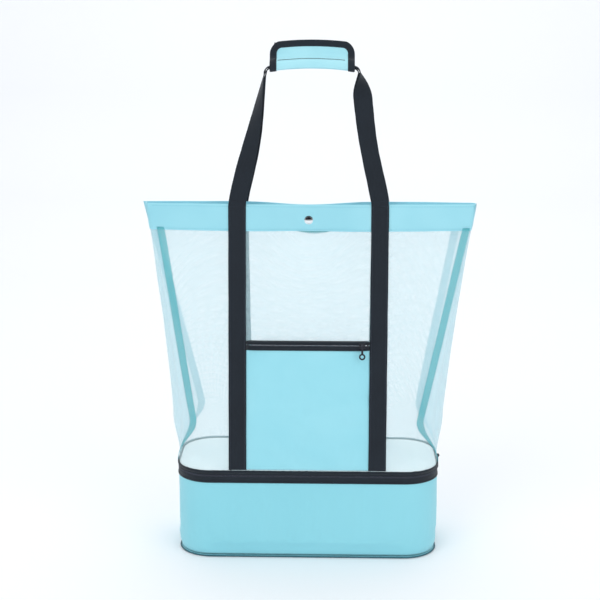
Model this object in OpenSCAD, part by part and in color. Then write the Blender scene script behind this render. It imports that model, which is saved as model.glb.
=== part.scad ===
// Mesh beach tote with a zipped insulated cooler as its base.
// Millimetres, +Z up, front towards -Y, origin on the ground under the middle of the bag.
// The mesh tote is the cooler's lid: it tilts back about the rear edge of the zip line.

/* [Cooler] */
// Width of the cooler over its outer skin
cooler_w = 382; // [340:2:420]
// Depth of the cooler over its outer skin
cooler_d = 155; // [135:1:180]
// Plan radius of the cooler's corners
corner_r = 50; // [35:1:60]
// Height of the aqua cooler wall
wall_h = 118; // [90:1:140]
// Height of the black zip band above the wall
zip_band_h = 15.5; // [15:0.5:22]
// Thickness of the insulating foam
foam_t = 5; // [3:0.5:8]

/* [Tote] */
// Height of the top edge of the mouth above the ground
mouth_z = 514; // [420:2:600]
// Height of the aqua top band
band_h = 38; // [25:1:50]
// Half width of the mouth over the folded ends of the gussets
mouth_half_w = 240; // [215:1:260]
// Half distance between the front corner seams at the mouth
seam_half_w = 226; // [205:1:235]
// Half distance between the front corner seams where the mesh is drawn in
waist_half_w = 172; // [160:1:178]
// Distance of the front and back panels from the middle plane at the mouth, where the straps are
mouth_half_d = 13.8; // [12:0.2:30]
// Thickness of the mesh fabric
mesh_t = 1.2; // [1:0.1:2]

/* [Straps and handles] */
// Width of the webbing
web_w = 25; // [20:1:38]
// Thickness of the webbing
web_t = 1.6; // [1.2:0.1:2]
// Distance between the middles of the two sewn straps of one side
strap_gap = 205; // [170:1:240]
// Height of the top of the grip above the ground
grip_top_z = 744; // [650:2:820]
// Length of the grip pad
grip_w = 118; // [90:1:140]
// Height of the closed grip pad
grip_h = 40; // [36:1:50]

/* [Pocket] */
// Width of the pocket panel
pocket_w = 184; // [150:1:200]
// Height of the pocket above the zip band, with its zip
pocket_h = 190; // [140:1:230]
// Depth of the pocket
pocket_gap = 7; // [6:0.5:12]

/* [Hidden] */
$fn = 48;
fabric_t = 1.2;
foil_t = 0.8;
clear = 0.3;
wall_top_z = wall_h;
rim_z = wall_h + zip_band_h;
zip_z = wall_h + zip_band_h / 2;
coil_h = 1.5;
coil_gap = 0.8;
coil_out = 0.9;
tape_t = 1.0;
bead_out = 1.5;
bead_h = 3;
piping_w = 2;
piping_h = 4;
half_w = cooler_w / 2;
half_d = cooler_d / 2;
ear_w = half_w - corner_r;
ear_d = half_d - corner_r;
// Floor of the tote, from the foil below to the fabric above
lid_foil_z = zip_z + 0.6;
lid_foam_z = lid_foil_z + foil_t;
lid_foam_t = 4;
lid_top_z = lid_foam_z + lid_foam_t;
// The foam and foil stay clear of the zip slider's inner plate
lid_inset = 4.5;
// Lean of the front and back panels
lean_run = half_d - mouth_half_d;
lean_rise = mouth_z - rim_z;
lean = atan(lean_run / lean_rise);
leg_len = lean_rise / cos(lean);
band_z = mouth_z - band_h;
waist_z = 200;
// Distance of the corner seams from the middle plane, at the waist and at the mouth
waist_d = 42;
seam_d = 9;
// Half width over the gusset's fold at the waist, and how its line to the mouth bows
fold_waist = 200;
fold_bow = 1.25;
// Share of a front column that is flat, and how the rest curls back to the seam
flat_u = 0.55;
seam_curl = 1.6;
gusset_bulge = 2.4;
// Reach of the snap's pinch to either side
pinch_reach = 86;
band_out = 0.6;
// Handles
bend_h = 40;
grip_z = grip_top_z - grip_h;
grip_wall = 2.5;
grip_half_d = web_w / 2 + grip_wall + 0.8;
loop_turn_r = 8;
// Zip sliders and pullers
slider_l = 9;
slider_h = 7.6;
slider_t = 1.4;
bail_h = 3.2;
bail_t = 1.4;
puller_l = 20;
puller_w = 5.5;
puller_t = 1.2;
ring_r = 4.6;
ring_hole_r = 2.4;
snap_r = 6.2;
snap_z = mouth_z - band_h * 0.66;

// ---------------------------------------------------------------- plan outlines

// Rounded rectangle as four circles and two bars, inset from the cooler's outer skin
module plan(inset = 0) {
    r = corner_r - inset;
    for (sx = [-1, 1], sy = [-1, 1])
        translate([sx * ear_w, sy * ear_d]) circle(r);
    square([2 * ear_w, 2 * (ear_d + r)], center = true);
    square([2 * (ear_w + r), 2 * ear_d], center = true);
}

// Upright wall between two insets of the plan
module wall(outer, inner, z0, z1) {
    translate([0, 0, z0]) linear_extrude(z1 - z0) difference() {
        plan(outer);
        plan(inner);
    }
}

// Flat layer over the plan
module layer(inset, z0, z1) {
    translate([0, 0, z0]) linear_extrude(z1 - z0) plan(inset);
}

// Keeps the part of a wall that the zip runs along: front, sides and front corners
module zip_side() {
    intersection() {
        children();
        translate([-cooler_w, -cooler_d, 0]) cube([2 * cooler_w, cooler_d + ear_d, mouth_z]);
    }
}

// Keeps the part of a wall behind the ends of the zip
module hinge_side() {
    intersection() {
        children();
        translate([-cooler_w, ear_d, 0]) cube([2 * cooler_w, cooler_d, mouth_z]);
    }
}

// ---------------------------------------------------------------- cooler

module cooler_outer_skin() {
    color([0.52, 0.83, 0.89]) wall(0, fabric_t, piping_h, wall_top_z);
}

module cooler_foam_wall() {
    color([0.95, 0.95, 0.93])
        wall(fabric_t, fabric_t + foam_t, fabric_t + foam_t, wall_top_z);
}

module cooler_foil_liner() {
    color([0.8, 0.82, 0.84])
        wall(fabric_t + foam_t, fabric_t + foam_t + foil_t,
             fabric_t + foam_t + foil_t, wall_top_z);
}

module cooler_base_panel() {
    color([0.52, 0.83, 0.89]) layer(piping_w, 0, fabric_t);
}

module cooler_base_foam() {
    color([0.95, 0.95, 0.93]) layer(piping_w + 0.2, fabric_t, fabric_t + foam_t);
}

module cooler_base_liner() {
    color([0.8, 0.82, 0.84])
        layer(fabric_t + foam_t, fabric_t + foam_t, fabric_t + foam_t + foil_t);
}

// Piped seam round the bottom edge
module base_piping() {
    color([0.25, 0.6, 0.68]) wall(0, piping_w, 0, piping_h);
}

module lower_zip_tape() {
    color([0.13, 0.14, 0.18]) zip_side()
        wall(0, tape_t, wall_top_z, zip_z - coil_gap / 2);
}

module lower_zip_coil() {
    color([0.2, 0.21, 0.25]) zip_side()
        wall(-coil_out, 0, zip_z - coil_gap / 2 - coil_h, zip_z - coil_gap / 2);
}

// Bound seam round the whole rim, where the zip and the hinge tape are sewn to the wall
module cooler_rim_piping() {
    color([0.13, 0.14, 0.18]) wall(-bead_out, 0, wall_top_z - bead_h, wall_top_z);
}

// Tabs sewn over the two ends of the zip
module cooler_zip_stops() {
    color([0.13, 0.14, 0.18]) for (sx = [-1, 1])
        translate([sx > 0 ? half_w + 0.02 : -half_w - 0.02 - coil_out, ear_d + 0.4,
                   zip_z - coil_gap / 2 - coil_h])
            cube([coil_out, 6, coil_h]);
}

// Fabric strip that joins tote and cooler behind the zip; its upper half bends with the tote
module back_hinge_tape() {
    color([0.13, 0.14, 0.18]) hinge_side()
        wall(0, tape_t, wall_top_z, zip_z - coil_gap / 2);
}

// Slider of a zip whose tape faces -Y and runs along X: outer plate, bail, keel, inner plate
module slider(tape) {
    out = coil_out + clear;
    back = tape + clear;
    translate([-slider_l / 2, -out - slider_t, -slider_h / 2])
        cube([slider_l, slider_t, slider_h]);
    translate([-slider_l / 2, back, -slider_h / 2])
        cube([slider_l, slider_t, slider_h]);
    translate([-1.5, -out - 0.1, -coil_gap / 2 + 0.15])
        cube([3, out + back + 0.2, coil_gap - clear]);
    // Bail: two posts and a bar along the travel
    for (sx = [-1, 1])
        translate([sx * (slider_l / 2 - 1) - bail_t / 2, -out - slider_t - bail_h + 0.01,
                   -bail_t / 2])
            cube([bail_t, bail_h, bail_t]);
    translate([-slider_l / 2 + 1, -out - slider_t - bail_h + bail_t / 2, 0])
        rotate([0, 90, 0]) cylinder(h = slider_l - 2, r = bail_t / 2, $fn = 24);
}

// Puller that hangs from the bail: an eye, a tapered tongue and a ring
module puller() {
    eye_out = coil_out + clear + slider_t + bail_h - bail_t / 2;
    translate([0, -eye_out, 0]) {
        rotate([0, 90, 0]) difference() {
            cylinder(h = 3, r = 2.2, center = true, $fn = 32);
            cylinder(h = 4, r = bail_t / 2 + clear, center = true, $fn = 32);
        }
        translate([-1.5, -puller_t / 2, -puller_l + 2 * ring_r - 1])
            cube([3, puller_t, puller_l - 2 * ring_r - 0.7]);
        translate([0, puller_t / 2, -puller_l + ring_r]) rotate([90, 0, 0]) difference() {
            cylinder(h = puller_t, r = ring_r, $fn = 40);
            translate([0, 0, -1]) cylinder(h = puller_t + 2, r = ring_hole_r, $fn = 40);
        }
    }
}

// Frame of the cooler slider: on the right side, parked at the rear end of the straight
module cooler_slider_frame() {
    translate([half_w, ear_d - slider_l / 2 - 1, zip_z]) rotate(90) children();
}

module cooler_zip_slider() {
    color([0.16, 0.17, 0.2]) cooler_slider_frame() slider(tape_t);
}

module cooler_zip_puller() {
    color([0.16, 0.17, 0.2]) cooler_slider_frame() puller();
}

// ---------------------------------------------------------------- tote floor and zip

module upper_zip_tape() {
    color([0.13, 0.14, 0.18]) zip_side() wall(0, tape_t, zip_z + coil_gap / 2, rim_z);
}

module upper_zip_coil() {
    color([0.2, 0.21, 0.25]) zip_side()
        wall(-coil_out, 0, zip_z + coil_gap / 2, zip_z + coil_gap / 2 + coil_h);
}

// Black hem that closes the tote's lower edge right round
module mesh_hem_binding() {
    color([0.13, 0.14, 0.18]) {
        wall(-fabric_t, 0, rim_z - 3, rim_z);
        hinge_side() wall(0, tape_t, zip_z + coil_gap / 2, rim_z);
    }
}

module tote_floor_panel() {
    color([0.52, 0.83, 0.89]) layer(tape_t + 0.1, lid_top_z, lid_top_z + fabric_t);
}

module divider_foam() {
    color([0.95, 0.95, 0.93]) layer(lid_inset, lid_foam_z, lid_top_z);
}

module divider_foil() {
    color([0.8, 0.82, 0.84]) layer(lid_inset, lid_foil_z, lid_foam_z);
}

// ---------------------------------------------------------------- mesh tote

function mix(a, b, t) = a + (b - a) * t;
function ease(t) = t <= 0 ? 0 : t >= 1 ? 1 : t * t * (3 - 2 * t);

// Distance of the flat front panel from the middle plane at height z
function panel_y(z) = half_d - (z - rim_z) * lean_run / lean_rise;

// How far up the pinch of the snap has grown at height z, and how far it reaches
pinch_from_z = 350;
function pinch(x, z) =
    ease((z - pinch_from_z) / (mouth_z - pinch_from_z)) * ease(1 - abs(x) / pinch_reach);

// Seam between front panel and gusset: half width and distance from the middle plane
function seam_x(z) =
    z < waist_z ? mix(half_w, waist_half_w, ease((z - rim_z) / (waist_z - rim_z)))
                : mix(waist_half_w, seam_half_w, (z - waist_z) / (mouth_z - waist_z));
function seam_y(z) =
    z < waist_z ? mix(ear_d, waist_d, ease((z - rim_z) / (waist_z - rim_z)))
                : mix(waist_d, seam_d, ease((z - waist_z) / (mouth_z - waist_z)));
// Half width of the gusset's fold
function edge_x(z) =
    z < waist_z ? mix(half_w, fold_waist, ease((z - rim_z) / (waist_z - rim_z)))
                : mix(fold_waist, mouth_half_w, pow((z - waist_z) / (mouth_z - waist_z), fold_bow));

// The middle of the front panel is flat out to here
flat_x = 116;
front_cols = 20;
// Front panel of the tote: point at column u (-1 to 1) and height z, on the outer face
function front_pt(u, z) =
    let (s = sign(u), a = abs(u), w = ease((z - rim_z) / (waist_z - rim_z)),
         // at the rim the panel follows the cooler's front and its round corner
         b = max(0, a - flat_u) / (1 - flat_u),
         arc = 90 * b,
         rim_x = a < flat_u ? ear_w * a / flat_u : ear_w + corner_r * sin(arc),
         rim_y = panel_y(z) - (a < flat_u ? 0 : corner_r * (1 - cos(arc))),
         // above, it is flat between the straps and then bends back to the seam
         up_x = a < flat_u ? flat_x * a / flat_u : mix(flat_x, seam_x(max(z, waist_z)), b),
         flat_y = panel_y(z) - pinch(up_x, z) * (panel_y(z) - mesh_t - band_out),
         up_y = a < flat_u ? flat_y : mix(panel_y(z), seam_y(max(z, waist_z)), pow(b, seam_curl)))
    [s * mix(rim_x, up_x, w), -mix(rim_y, up_y, w)];

// Gusset: point at column t (-1 front to 1 back), on the outer face of the right side
function gusset_pt(t, z) =
    let (f = front_pt(1, z), bulge = 1 - pow(abs(t), gusset_bulge))
    [mix(f[0], max(edge_x(z), f[0]), bulge), -f[1] * sin(90 * t)];

// Thin sheet through a grid of plan points at heights zs, thickened inwards along inner
module sheet(rows, zs, thick, mirrored = false) {
    n = len(rows[0]);
    m = len(rows);
    function nrm(r, i) =
        let (p = r[max(0, i - 1)], q = r[min(n - 1, i + 1)], d = q - p, l = norm(d))
        [-d[1] / l, d[0] / l];
    outer = [for (j = [0:m - 1], i = [0:n - 1]) [rows[j][i][0], rows[j][i][1], zs[j]]];
    inner = [for (j = [0:m - 1], i = [0:n - 1])
        let (p = rows[j][i] + thick * nrm(rows[j], i)) [p[0], p[1], zs[j]]];
    o = n * m;
    // one quad as two triangles, cut along its other diagonal where turned is true
    function quad(a, b, c, d, turned = false) =
        turned ? [[a, b, d], [b, c, d]] : [[a, b, c], [a, c, d]];
    // the left half is cut as the right half's mirror image
    cells = [for (j = [0:m - 2], i = [0:n - 2])
        let (a = j * n + i, b = a + 1, c = a + n + 1, d = a + n, left = mirrored && i < (n - 1) / 2)
        each concat(quad(d, c, b, a, left), quad(o + a, o + b, o + c, o + d, left))];
    low = [for (i = [0:n - 2]) each quad(i, i + 1, o + i + 1, o + i)];
    top = let (k = (m - 1) * n)
        [for (i = [0:n - 2]) each quad(k + i + 1, k + i, o + k + i, o + k + i + 1)];
    side_a = [for (j = [0:m - 2])
        let (a = j * n, b = a + n) each quad(b, a, o + a, o + b)];
    side_b = [for (j = [0:m - 2])
        let (a = j * n + n - 1, b = a + n) each quad(a, b, o + b, o + a)];
    polyhedron(concat(outer, inner), concat(cells, low, top, side_a, side_b));
}

mesh_zs = [rim_z, 146, 160, 178, waist_z, 260, pinch_from_z, 400, 440, band_z];
band_zs = [band_z + 0.02, band_z + 13, band_z + 26, mouth_z];
front_us = [for (i = [0:front_cols]) mix(-1, 1, i / front_cols)];
gusset_ts = [for (i = [0:8]) mix(-1, 1, i / 8)];

// Plan offset of a row of points, outwards for a positive distance
function shifted(row, out) =
    let (n = len(row))
    [for (i = [0:n - 1])
        let (d = row[min(n - 1, i + 1)] - row[max(0, i - 1)], l = norm(d))
        row[i] - out * [-d[1] / l, d[0] / l]];

module front_sheet(zs, us, thick, out = 0) {
    sheet([for (z = zs) shifted([for (u = us) front_pt(u, z)], out)], zs, thick, true);
}

module gusset_sheet(zs, ts, thick, out = 0) {
    sheet([for (z = zs) shifted([for (t = ts) gusset_pt(t, z)], out)], zs, thick);
}

module front_mesh_panel() {
    color([0.85, 0.94, 0.96, 0.6]) front_sheet(mesh_zs, front_us, mesh_t);
}

module back_mesh_panel() {
    color([0.85, 0.94, 0.96, 0.6]) rotate(180) front_sheet(mesh_zs, front_us, mesh_t);
}

// The gussets stop short of the seams, which the tapes cover
gap_ts = [for (t = gusset_ts) t * 0.96];
module right_mesh_gusset() {
    color([0.85, 0.94, 0.96, 0.6]) gusset_sheet(mesh_zs, gap_ts, mesh_t);
}

module left_mesh_gusset() {
    color([0.85, 0.94, 0.96, 0.6]) rotate(180) gusset_sheet(mesh_zs, gap_ts, mesh_t);
}

// Seam tape on the outside of the front panel's edge, of one width all the way
tape_w = 11;
seam_tape_t = 0.8;
seam_tape_out = 1.1;
function tape_u(z, k) =
    let (w = ease((z - rim_z) / (waist_z - rim_z)),
         up = norm([seam_x(max(z, waist_z)) - flat_x, panel_y(z) - seam_y(max(z, waist_z))]),
         len = mix(PI / 2 * corner_r, up, w))
    1 - (1 - flat_u) * tape_w * (1 - k) / len - 0.002;
module seam_tape() {
    color([0.43, 0.76, 0.82]) sheet(
        [for (z = mesh_zs) shifted([for (k = [0:3]) front_pt(tape_u(z, k / 3), z)], seam_tape_out)],
        mesh_zs, seam_tape_t);
}

module front_right_seam_tape() { seam_tape(); }
module front_left_seam_tape() { mirror([1, 0, 0]) seam_tape(); }
module back_right_seam_tape() { mirror([0, 1, 0]) seam_tape(); }
module back_left_seam_tape() { rotate(180) seam_tape(); }

// Doubled aqua band round the mouth: front half, with the fold of the gusset at each end
band_in = mesh_t + band_out;
function band_row(z) =
    let (f = [for (u = front_us) front_pt(u, z)],
         e = [for (t = [-0.9, -0.7, -0.45, -0.2, -0.04]) gusset_pt(t, z)],
         l = [for (i = [len(e) - 1:-1:0]) [-e[i][0], e[i][1]]])
    shifted(concat(l, f, e), band_out);

module front_top_band() {
    color([0.62, 0.86, 0.92]) sheet([for (z = band_zs) band_row(z)], band_zs, band_in);
}

module back_top_band() {
    color([0.62, 0.86, 0.92]) rotate(180)
        sheet([for (z = band_zs) band_row(z)], band_zs, band_in);
}

// ---------------------------------------------------------------- snap

// Outer face of the band at the snap, and half the space between the two bands
snap_y = -front_pt(0, snap_z)[1] + band_out;
snap_half = snap_y - band_in;

// Domed cap on the front of the front band, with its rivet through the band
module snap_cap() {
    color([0.75, 0.76, 0.78]) translate([0, -snap_y, snap_z]) rotate([90, 0, 0]) {
        intersection() {
            translate([0, 0, -snap_r]) sphere(snap_r * 1.45, $fn = 64);
            cylinder(h = snap_r, r = snap_r);
        }
        translate([0, 0, -band_in]) cylinder(h = band_in + 0.5, r = 2);
    }
}

// Socket on the inside of the front band
module snap_socket() {
    color([0.6, 0.61, 0.63]) translate([0, -0.1, snap_z]) rotate([90, 0, 0])
        cylinder(h = snap_half - 0.1, r = snap_r - 1);
}

// Stud on the inside of the back band
module snap_stud() {
    color([0.6, 0.61, 0.63]) translate([0, 0.1, snap_z]) rotate([-90, 0, 0])
        cylinder(h = snap_half - 0.1, r = snap_r - 1.5);
}

// Plain rivet on the back of the back band, clenched to the stud
module snap_stud_rivet() {
    color([0.75, 0.76, 0.78]) translate([0, snap_y, snap_z]) rotate([-90, 0, 0]) {
        cylinder(h = 1, r = snap_r - 1.5);
        translate([0, 0, -band_in]) cylinder(h = band_in + 0.5, r = 2);
    }
}

// ---------------------------------------------------------------- sewn straps

// Frame on the outside of the leaning front panel, with z along the panel from the rim
module on_panel(out = 0) {
    translate([0, -half_d, rim_z]) rotate([-lean, 0, 0]) translate([0, -out, 0]) children();
}

strap_out = 0.8;
module strap(side) {
    color([0.13, 0.14, 0.18]) on_panel(strap_out)
        translate([side * strap_gap / 2 - web_w / 2, -web_t, 1]) cube([web_w, web_t, leg_len - 1]);
}

module front_left_strap() { strap(-1); }
module front_right_strap() { strap(1); }
module back_left_strap() { rotate(180) strap(1); }
module back_right_strap() { rotate(180) strap(-1); }

// ---------------------------------------------------------------- pocket

pocket_out = 0.3;
pocket_z1 = pocket_h - 13;
pocket_foot = 2;

// Wedge profile of the pocket in the YZ plane of the leaning panel, grown outwards by t
function wedge(t) = [
    [0, pocket_foot + (t > 0 ? 0 : fabric_t)], [-t, pocket_foot + (t > 0 ? 0 : fabric_t)],
    [-pocket_gap - t, pocket_z1], [0, pocket_z1]
];

// Cloth pocket: a front sheet turned back to the mesh along its sides, closed at its foot
module pocket_panel() {
    w = pocket_w - 4.8;
    color([0.58, 0.87, 0.93]) on_panel(pocket_out) difference() {
        across(w) polygon(wedge(fabric_t));
        translate([0, 0, 0.001]) across(w - 2 * fabric_t)
            polygon(concat(wedge(0), [[1, pocket_z1 + 1], [1, pocket_foot]]));
        translate([-w / 2 + fabric_t, -pocket_gap, pocket_z1 - 0.01])
            cube([w - 2 * fabric_t, pocket_gap + 1, 1]);
    }
}

pocket_zip_z = pocket_z1 + 6.5;
module pocket_tape(z0, z1) {
    translate([-pocket_w / 2 + 2.4, -pocket_gap - tape_t, z0])
        cube([pocket_w - 4.8, tape_t, z1 - z0]);
}

module pocket_lower_tape() {
    color([0.13, 0.14, 0.18]) on_panel(pocket_out)
        pocket_tape(pocket_z1, pocket_zip_z - coil_gap / 2);
}

// The upper tape turns back to the mesh above the coil and is sewn to it
module pocket_upper_tape() {
    color([0.13, 0.14, 0.18]) on_panel(pocket_out) {
        pocket_tape(pocket_zip_z + coil_gap / 2, pocket_h);
        translate([-pocket_w / 2 + 2.4, -pocket_gap, pocket_h - tape_t])
            cube([pocket_w - 4.8, pocket_gap, tape_t]);
    }
}

module pocket_zip_coil() {
    color([0.2, 0.21, 0.25]) on_panel(pocket_out)
        for (z = [pocket_zip_z - coil_gap / 2 - coil_h, pocket_zip_z + coil_gap / 2])
            translate([-pocket_w / 2 + 8, -pocket_gap - tape_t - coil_out, z])
                cube([pocket_w - 16, coil_out, coil_h]);
}

module pocket_zip_stops() {
    color([0.13, 0.14, 0.18]) on_panel(pocket_out) for (sx = [-1, 1])
        translate([sx * (pocket_w / 2 - 6.2) - 1, -pocket_gap - tape_t - coil_out,
                   pocket_zip_z - 2])
            cube([2, coil_out, 4]);
}

// Frame of the pocket slider, at the closed end on the right
pocket_slider_x = pocket_w / 2 - 14;
module pocket_slider_frame() {
    on_panel(pocket_out) translate([pocket_slider_x, -pocket_gap - tape_t, pocket_zip_z])
        children();
}

module pocket_zip_slider() {
    color([0.16, 0.17, 0.2]) pocket_slider_frame() slider(tape_t);
}

module pocket_zip_puller() {
    color([0.16, 0.17, 0.2]) pocket_slider_frame() puller();
}

// ---------------------------------------------------------------- handles and grip

// Route of a loop's middle line: up from the mouth, twisting, then across in the grip
loop_y0 = mouth_half_d + strap_out + web_t / 2;
loop_step = web_t + 0.8;
loop_z = grip_z + grip_wall + 1.2;
leg_n = 22;
turn_n = 5;

// One station of a leg, t 0 at the mouth and 1 at the turn, as [x, y, z, twist];
// twist is 0 where the width lies along X and 1 where it lies along Y
function leg_at(t, y0, nest) =
    let (turn_x = grip_w / 2 + loop_turn_r + nest * loop_step,
         top_z = loop_z - loop_turn_r)
    [mix(strap_gap / 2, turn_x, t), mix(y0, 0, ease(t)),
     mix(mouth_z, top_z, t), ease((t - 0.32) / 0.68)];
// Share of the leg that bends as the handles fold
bend_t = bend_h / (loop_z - loop_turn_r - mouth_z);

// Half of the loop's route, nested outside its neighbour by nest
function half_route(y0, nest) =
    let (r = loop_turn_r + nest * loop_step, x0 = grip_w / 2 + r, z0 = loop_z - loop_turn_r)
    concat(
        [for (i = [0:leg_n - 1]) leg_at(mix(bend_t, 1, i / leg_n), y0, nest)],
        [for (i = [0:turn_n])
            let (a = 90 * i / turn_n)
            [x0 - r * (1 - cos(a)), 0, z0 + r * sin(a), 1]]);

function flip(r) = [-r[0], r[1], r[2], r[3]];

// Flat webbing swept along a route: four corners a station
module web_sweep(route) {
    n = len(route);
    pts = [for (r = route) [r[0], r[1], r[2]]];
    function ring(i) =
        let (p = pts[i], d = pts[min(n - 1, i + 1)] - pts[max(0, i - 1)], t = d / norm(d),
             w0 = route[i][3] > 0.999 ? [0, 1, 0]
                : let (s = sign(t[2]))
                  [s * cos(90 * route[i][3]), sin(90 * route[i][3]), 0],
             w1 = w0 - t * (w0 * t), w = w1 / norm(w1), h = cross(t, w))
        [p - w * web_w / 2 - h * web_t / 2, p + w * web_w / 2 - h * web_t / 2,
         p + w * web_w / 2 + h * web_t / 2, p - w * web_w / 2 + h * web_t / 2];
    rings = [for (i = [0:n - 1]) each ring(i)];
    // the second half of a route is cut as the first half's mirror image
    skin = [for (i = [0:n - 2], k = [0:3])
        let (a = 4 * i + k, b = 4 * i + (k + 1) % 4)
        each i < (n - 1) / 2 ? [[a, b + 4, b], [a, a + 4, b + 4]]
                             : [[a, a + 4, b], [a + 4, b + 4, b]]];
    e = 4 * (n - 1);
    polyhedron(rings, concat(skin, [[0, 1, 2], [0, 2, 3], [e, e + 2, e + 1], [e, e + 3, e + 2]]));
}

module handle_loop(y0, nest) {
    half = half_route(y0, nest);
    n = len(half);
    color([0.13, 0.14, 0.18])
        web_sweep(concat(half, [for (i = [n - 1:-1:0]) flip(half[i])]));
}

// The front loop passes over the back loop in the grip
module front_handle_loop() { handle_loop(-loop_y0, 1); }
module back_handle_loop() { handle_loop(loop_y0, 0); }

// Lengths of webbing between the mouth and the loops, which bend as the handles fold
module handle_bends() {
    color([0.13, 0.14, 0.18]) for (s = [-1, 1], k = [0, 1]) {
        route = [for (t = [0.004, bend_t / 2, bend_t - 0.004])
            leg_at(t, k > 0 ? -loop_y0 : loop_y0, k)];
        web_sweep(s > 0 ? route : [for (i = [2:-1:0]) flip(route[i])]);
    }
}

// Grip profile in the YZ plane, for the back: floor, leaning wall, upright closing strip
close_z = grip_top_z - 18;
close_y = 1.4;
bead_z = grip_top_z - 1;
function back_profile(top) = [
    [-grip_half_d + grip_wall, grip_z], [grip_half_d - 3, grip_z], [grip_half_d, grip_z + 3],
    [grip_half_d, grip_z + 9], [close_y + grip_wall, close_z], [close_y + grip_wall, top],
    [close_y, top], [close_y, close_z], [grip_half_d - grip_wall, grip_z + 9],
    [grip_half_d - grip_wall, grip_z + grip_wall], [-grip_half_d + grip_wall, grip_z + grip_wall]
];
// The same for the front: the flap, from its fold at the bottom
function flap_profile(top) = [
    [-grip_half_d + grip_wall - clear, grip_z], [-grip_half_d + 1, grip_z + 0.6],
    [-grip_half_d, grip_z + 3], [-grip_half_d, grip_z + 9], [-close_y - grip_wall, close_z],
    [-close_y - grip_wall, top], [-close_y, top], [-close_y, close_z],
    [-grip_half_d + grip_wall, grip_z + 9],
    [-grip_half_d + grip_wall, grip_z + grip_wall + 0.6],
    [-grip_half_d + grip_wall - clear, grip_z + grip_wall]
];

// Extrudes a YZ profile along X, centred
module across(len) {
    rotate([90, 0, 90]) translate([0, 0, -len / 2]) linear_extrude(len) children();
}

bind_w = 8;
module grip_back_panel() {
    color([0.6, 0.84, 0.9]) across(grip_w - 2 * bind_w) polygon(back_profile(bead_z));
}

module grip_flap() {
    color([0.6, 0.84, 0.9]) across(grip_w - 2 * bind_w) polygon(flap_profile(bead_z));
}

// Black binding: both ends of the panel and a bead along its top edge
module binding_ends(profile) {
    for (sx = [-1, 1])
        translate([sx * (grip_w - bind_w) / 2, 0, 0]) across(bind_w) polygon(profile);
}

module grip_back_binding() {
    color([0.13, 0.14, 0.18]) {
        binding_ends(back_profile(grip_top_z));
        translate([1 - grip_w / 2, close_y + 0.05, bead_z])
            cube([grip_w - 2, grip_wall - 0.1, 0.95]);
    }
}

module grip_flap_binding() {
    color([0.13, 0.14, 0.18]) {
        binding_ends(flap_profile(grip_top_z));
        translate([1 - grip_w / 2, -close_y - grip_wall + 0.05, bead_z])
            cube([grip_w - 2, grip_wall - 0.1, 0.95]);
    }
}

// Hook and loop strips that close the grip
strip_h = 14;
module grip_loop_tape() {
    color([0.2, 0.2, 0.22])
        translate([-grip_w / 2 + 10, 0.2, close_z + 1]) cube([grip_w - 20, 1.2, strip_h]);
}

module grip_hook_tape() {
    color([0.2, 0.2, 0.22])
        translate([-grip_w / 2 + 10, -1.4, close_z + 1]) cube([grip_w - 20, 1.2, strip_h]);
}

// ---------------------------------------------------------------- nodes

cooler_outer_skin();
cooler_foam_wall();
cooler_foil_liner();
cooler_base_panel();
cooler_base_foam();
cooler_base_liner();
base_piping();
lower_zip_tape();
lower_zip_coil();
cooler_rim_piping();
cooler_zip_stops();
back_hinge_tape();
cooler_zip_slider();
cooler_zip_puller();
upper_zip_tape();
upper_zip_coil();
mesh_hem_binding();
tote_floor_panel();
divider_foam();
divider_foil();
front_mesh_panel();
back_mesh_panel();
left_mesh_gusset();
right_mesh_gusset();
front_left_seam_tape();
front_right_seam_tape();
back_left_seam_tape();
back_right_seam_tape();
front_top_band();
back_top_band();
snap_cap();
snap_socket();
snap_stud();
snap_stud_rivet();
front_left_strap();
front_right_strap();
back_left_strap();
back_right_strap();
pocket_panel();
pocket_lower_tape();
pocket_upper_tape();
pocket_zip_coil();
pocket_zip_stops();
pocket_zip_slider();
pocket_zip_puller();
handle_bends();
front_handle_loop();
back_handle_loop();
grip_back_panel();
grip_back_binding();
grip_loop_tape();
grip_flap();
grip_flap_binding();
grip_hook_tape();
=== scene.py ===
import math

import bpy
from mathutils import Matrix, Vector, noise


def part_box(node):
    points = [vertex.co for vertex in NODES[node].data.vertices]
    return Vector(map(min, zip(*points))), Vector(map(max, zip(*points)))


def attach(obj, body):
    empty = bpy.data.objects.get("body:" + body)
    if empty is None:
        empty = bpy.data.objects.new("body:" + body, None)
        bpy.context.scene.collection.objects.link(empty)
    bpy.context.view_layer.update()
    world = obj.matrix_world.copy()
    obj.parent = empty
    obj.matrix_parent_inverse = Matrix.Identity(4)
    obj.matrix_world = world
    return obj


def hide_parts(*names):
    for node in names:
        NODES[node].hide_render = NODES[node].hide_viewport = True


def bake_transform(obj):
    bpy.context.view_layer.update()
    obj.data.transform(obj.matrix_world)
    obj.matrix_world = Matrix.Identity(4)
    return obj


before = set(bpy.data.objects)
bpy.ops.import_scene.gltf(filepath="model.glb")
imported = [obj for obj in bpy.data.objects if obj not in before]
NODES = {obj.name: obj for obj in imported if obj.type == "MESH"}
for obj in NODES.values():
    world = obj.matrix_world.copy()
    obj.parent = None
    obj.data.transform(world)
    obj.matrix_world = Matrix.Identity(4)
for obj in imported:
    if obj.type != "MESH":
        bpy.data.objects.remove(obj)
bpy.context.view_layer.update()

# Lengths are in millimetres in the functions that place points, and metres in Blender.
MM = 0.001


# ------------------------------------------------------------ sizes read from the frame

def box_mm(node):
    low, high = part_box(node)
    return low / MM, high / MM


band_low, band_high = box_mm("front_top_band")
grip_low, grip_high = box_mm("grip_back_binding")
pocket_low, pocket_high = box_mm("pocket_panel")
strap_low, strap_high = box_mm("front_right_strap")
cap_low, cap_high = box_mm("snap_cap")

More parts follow.
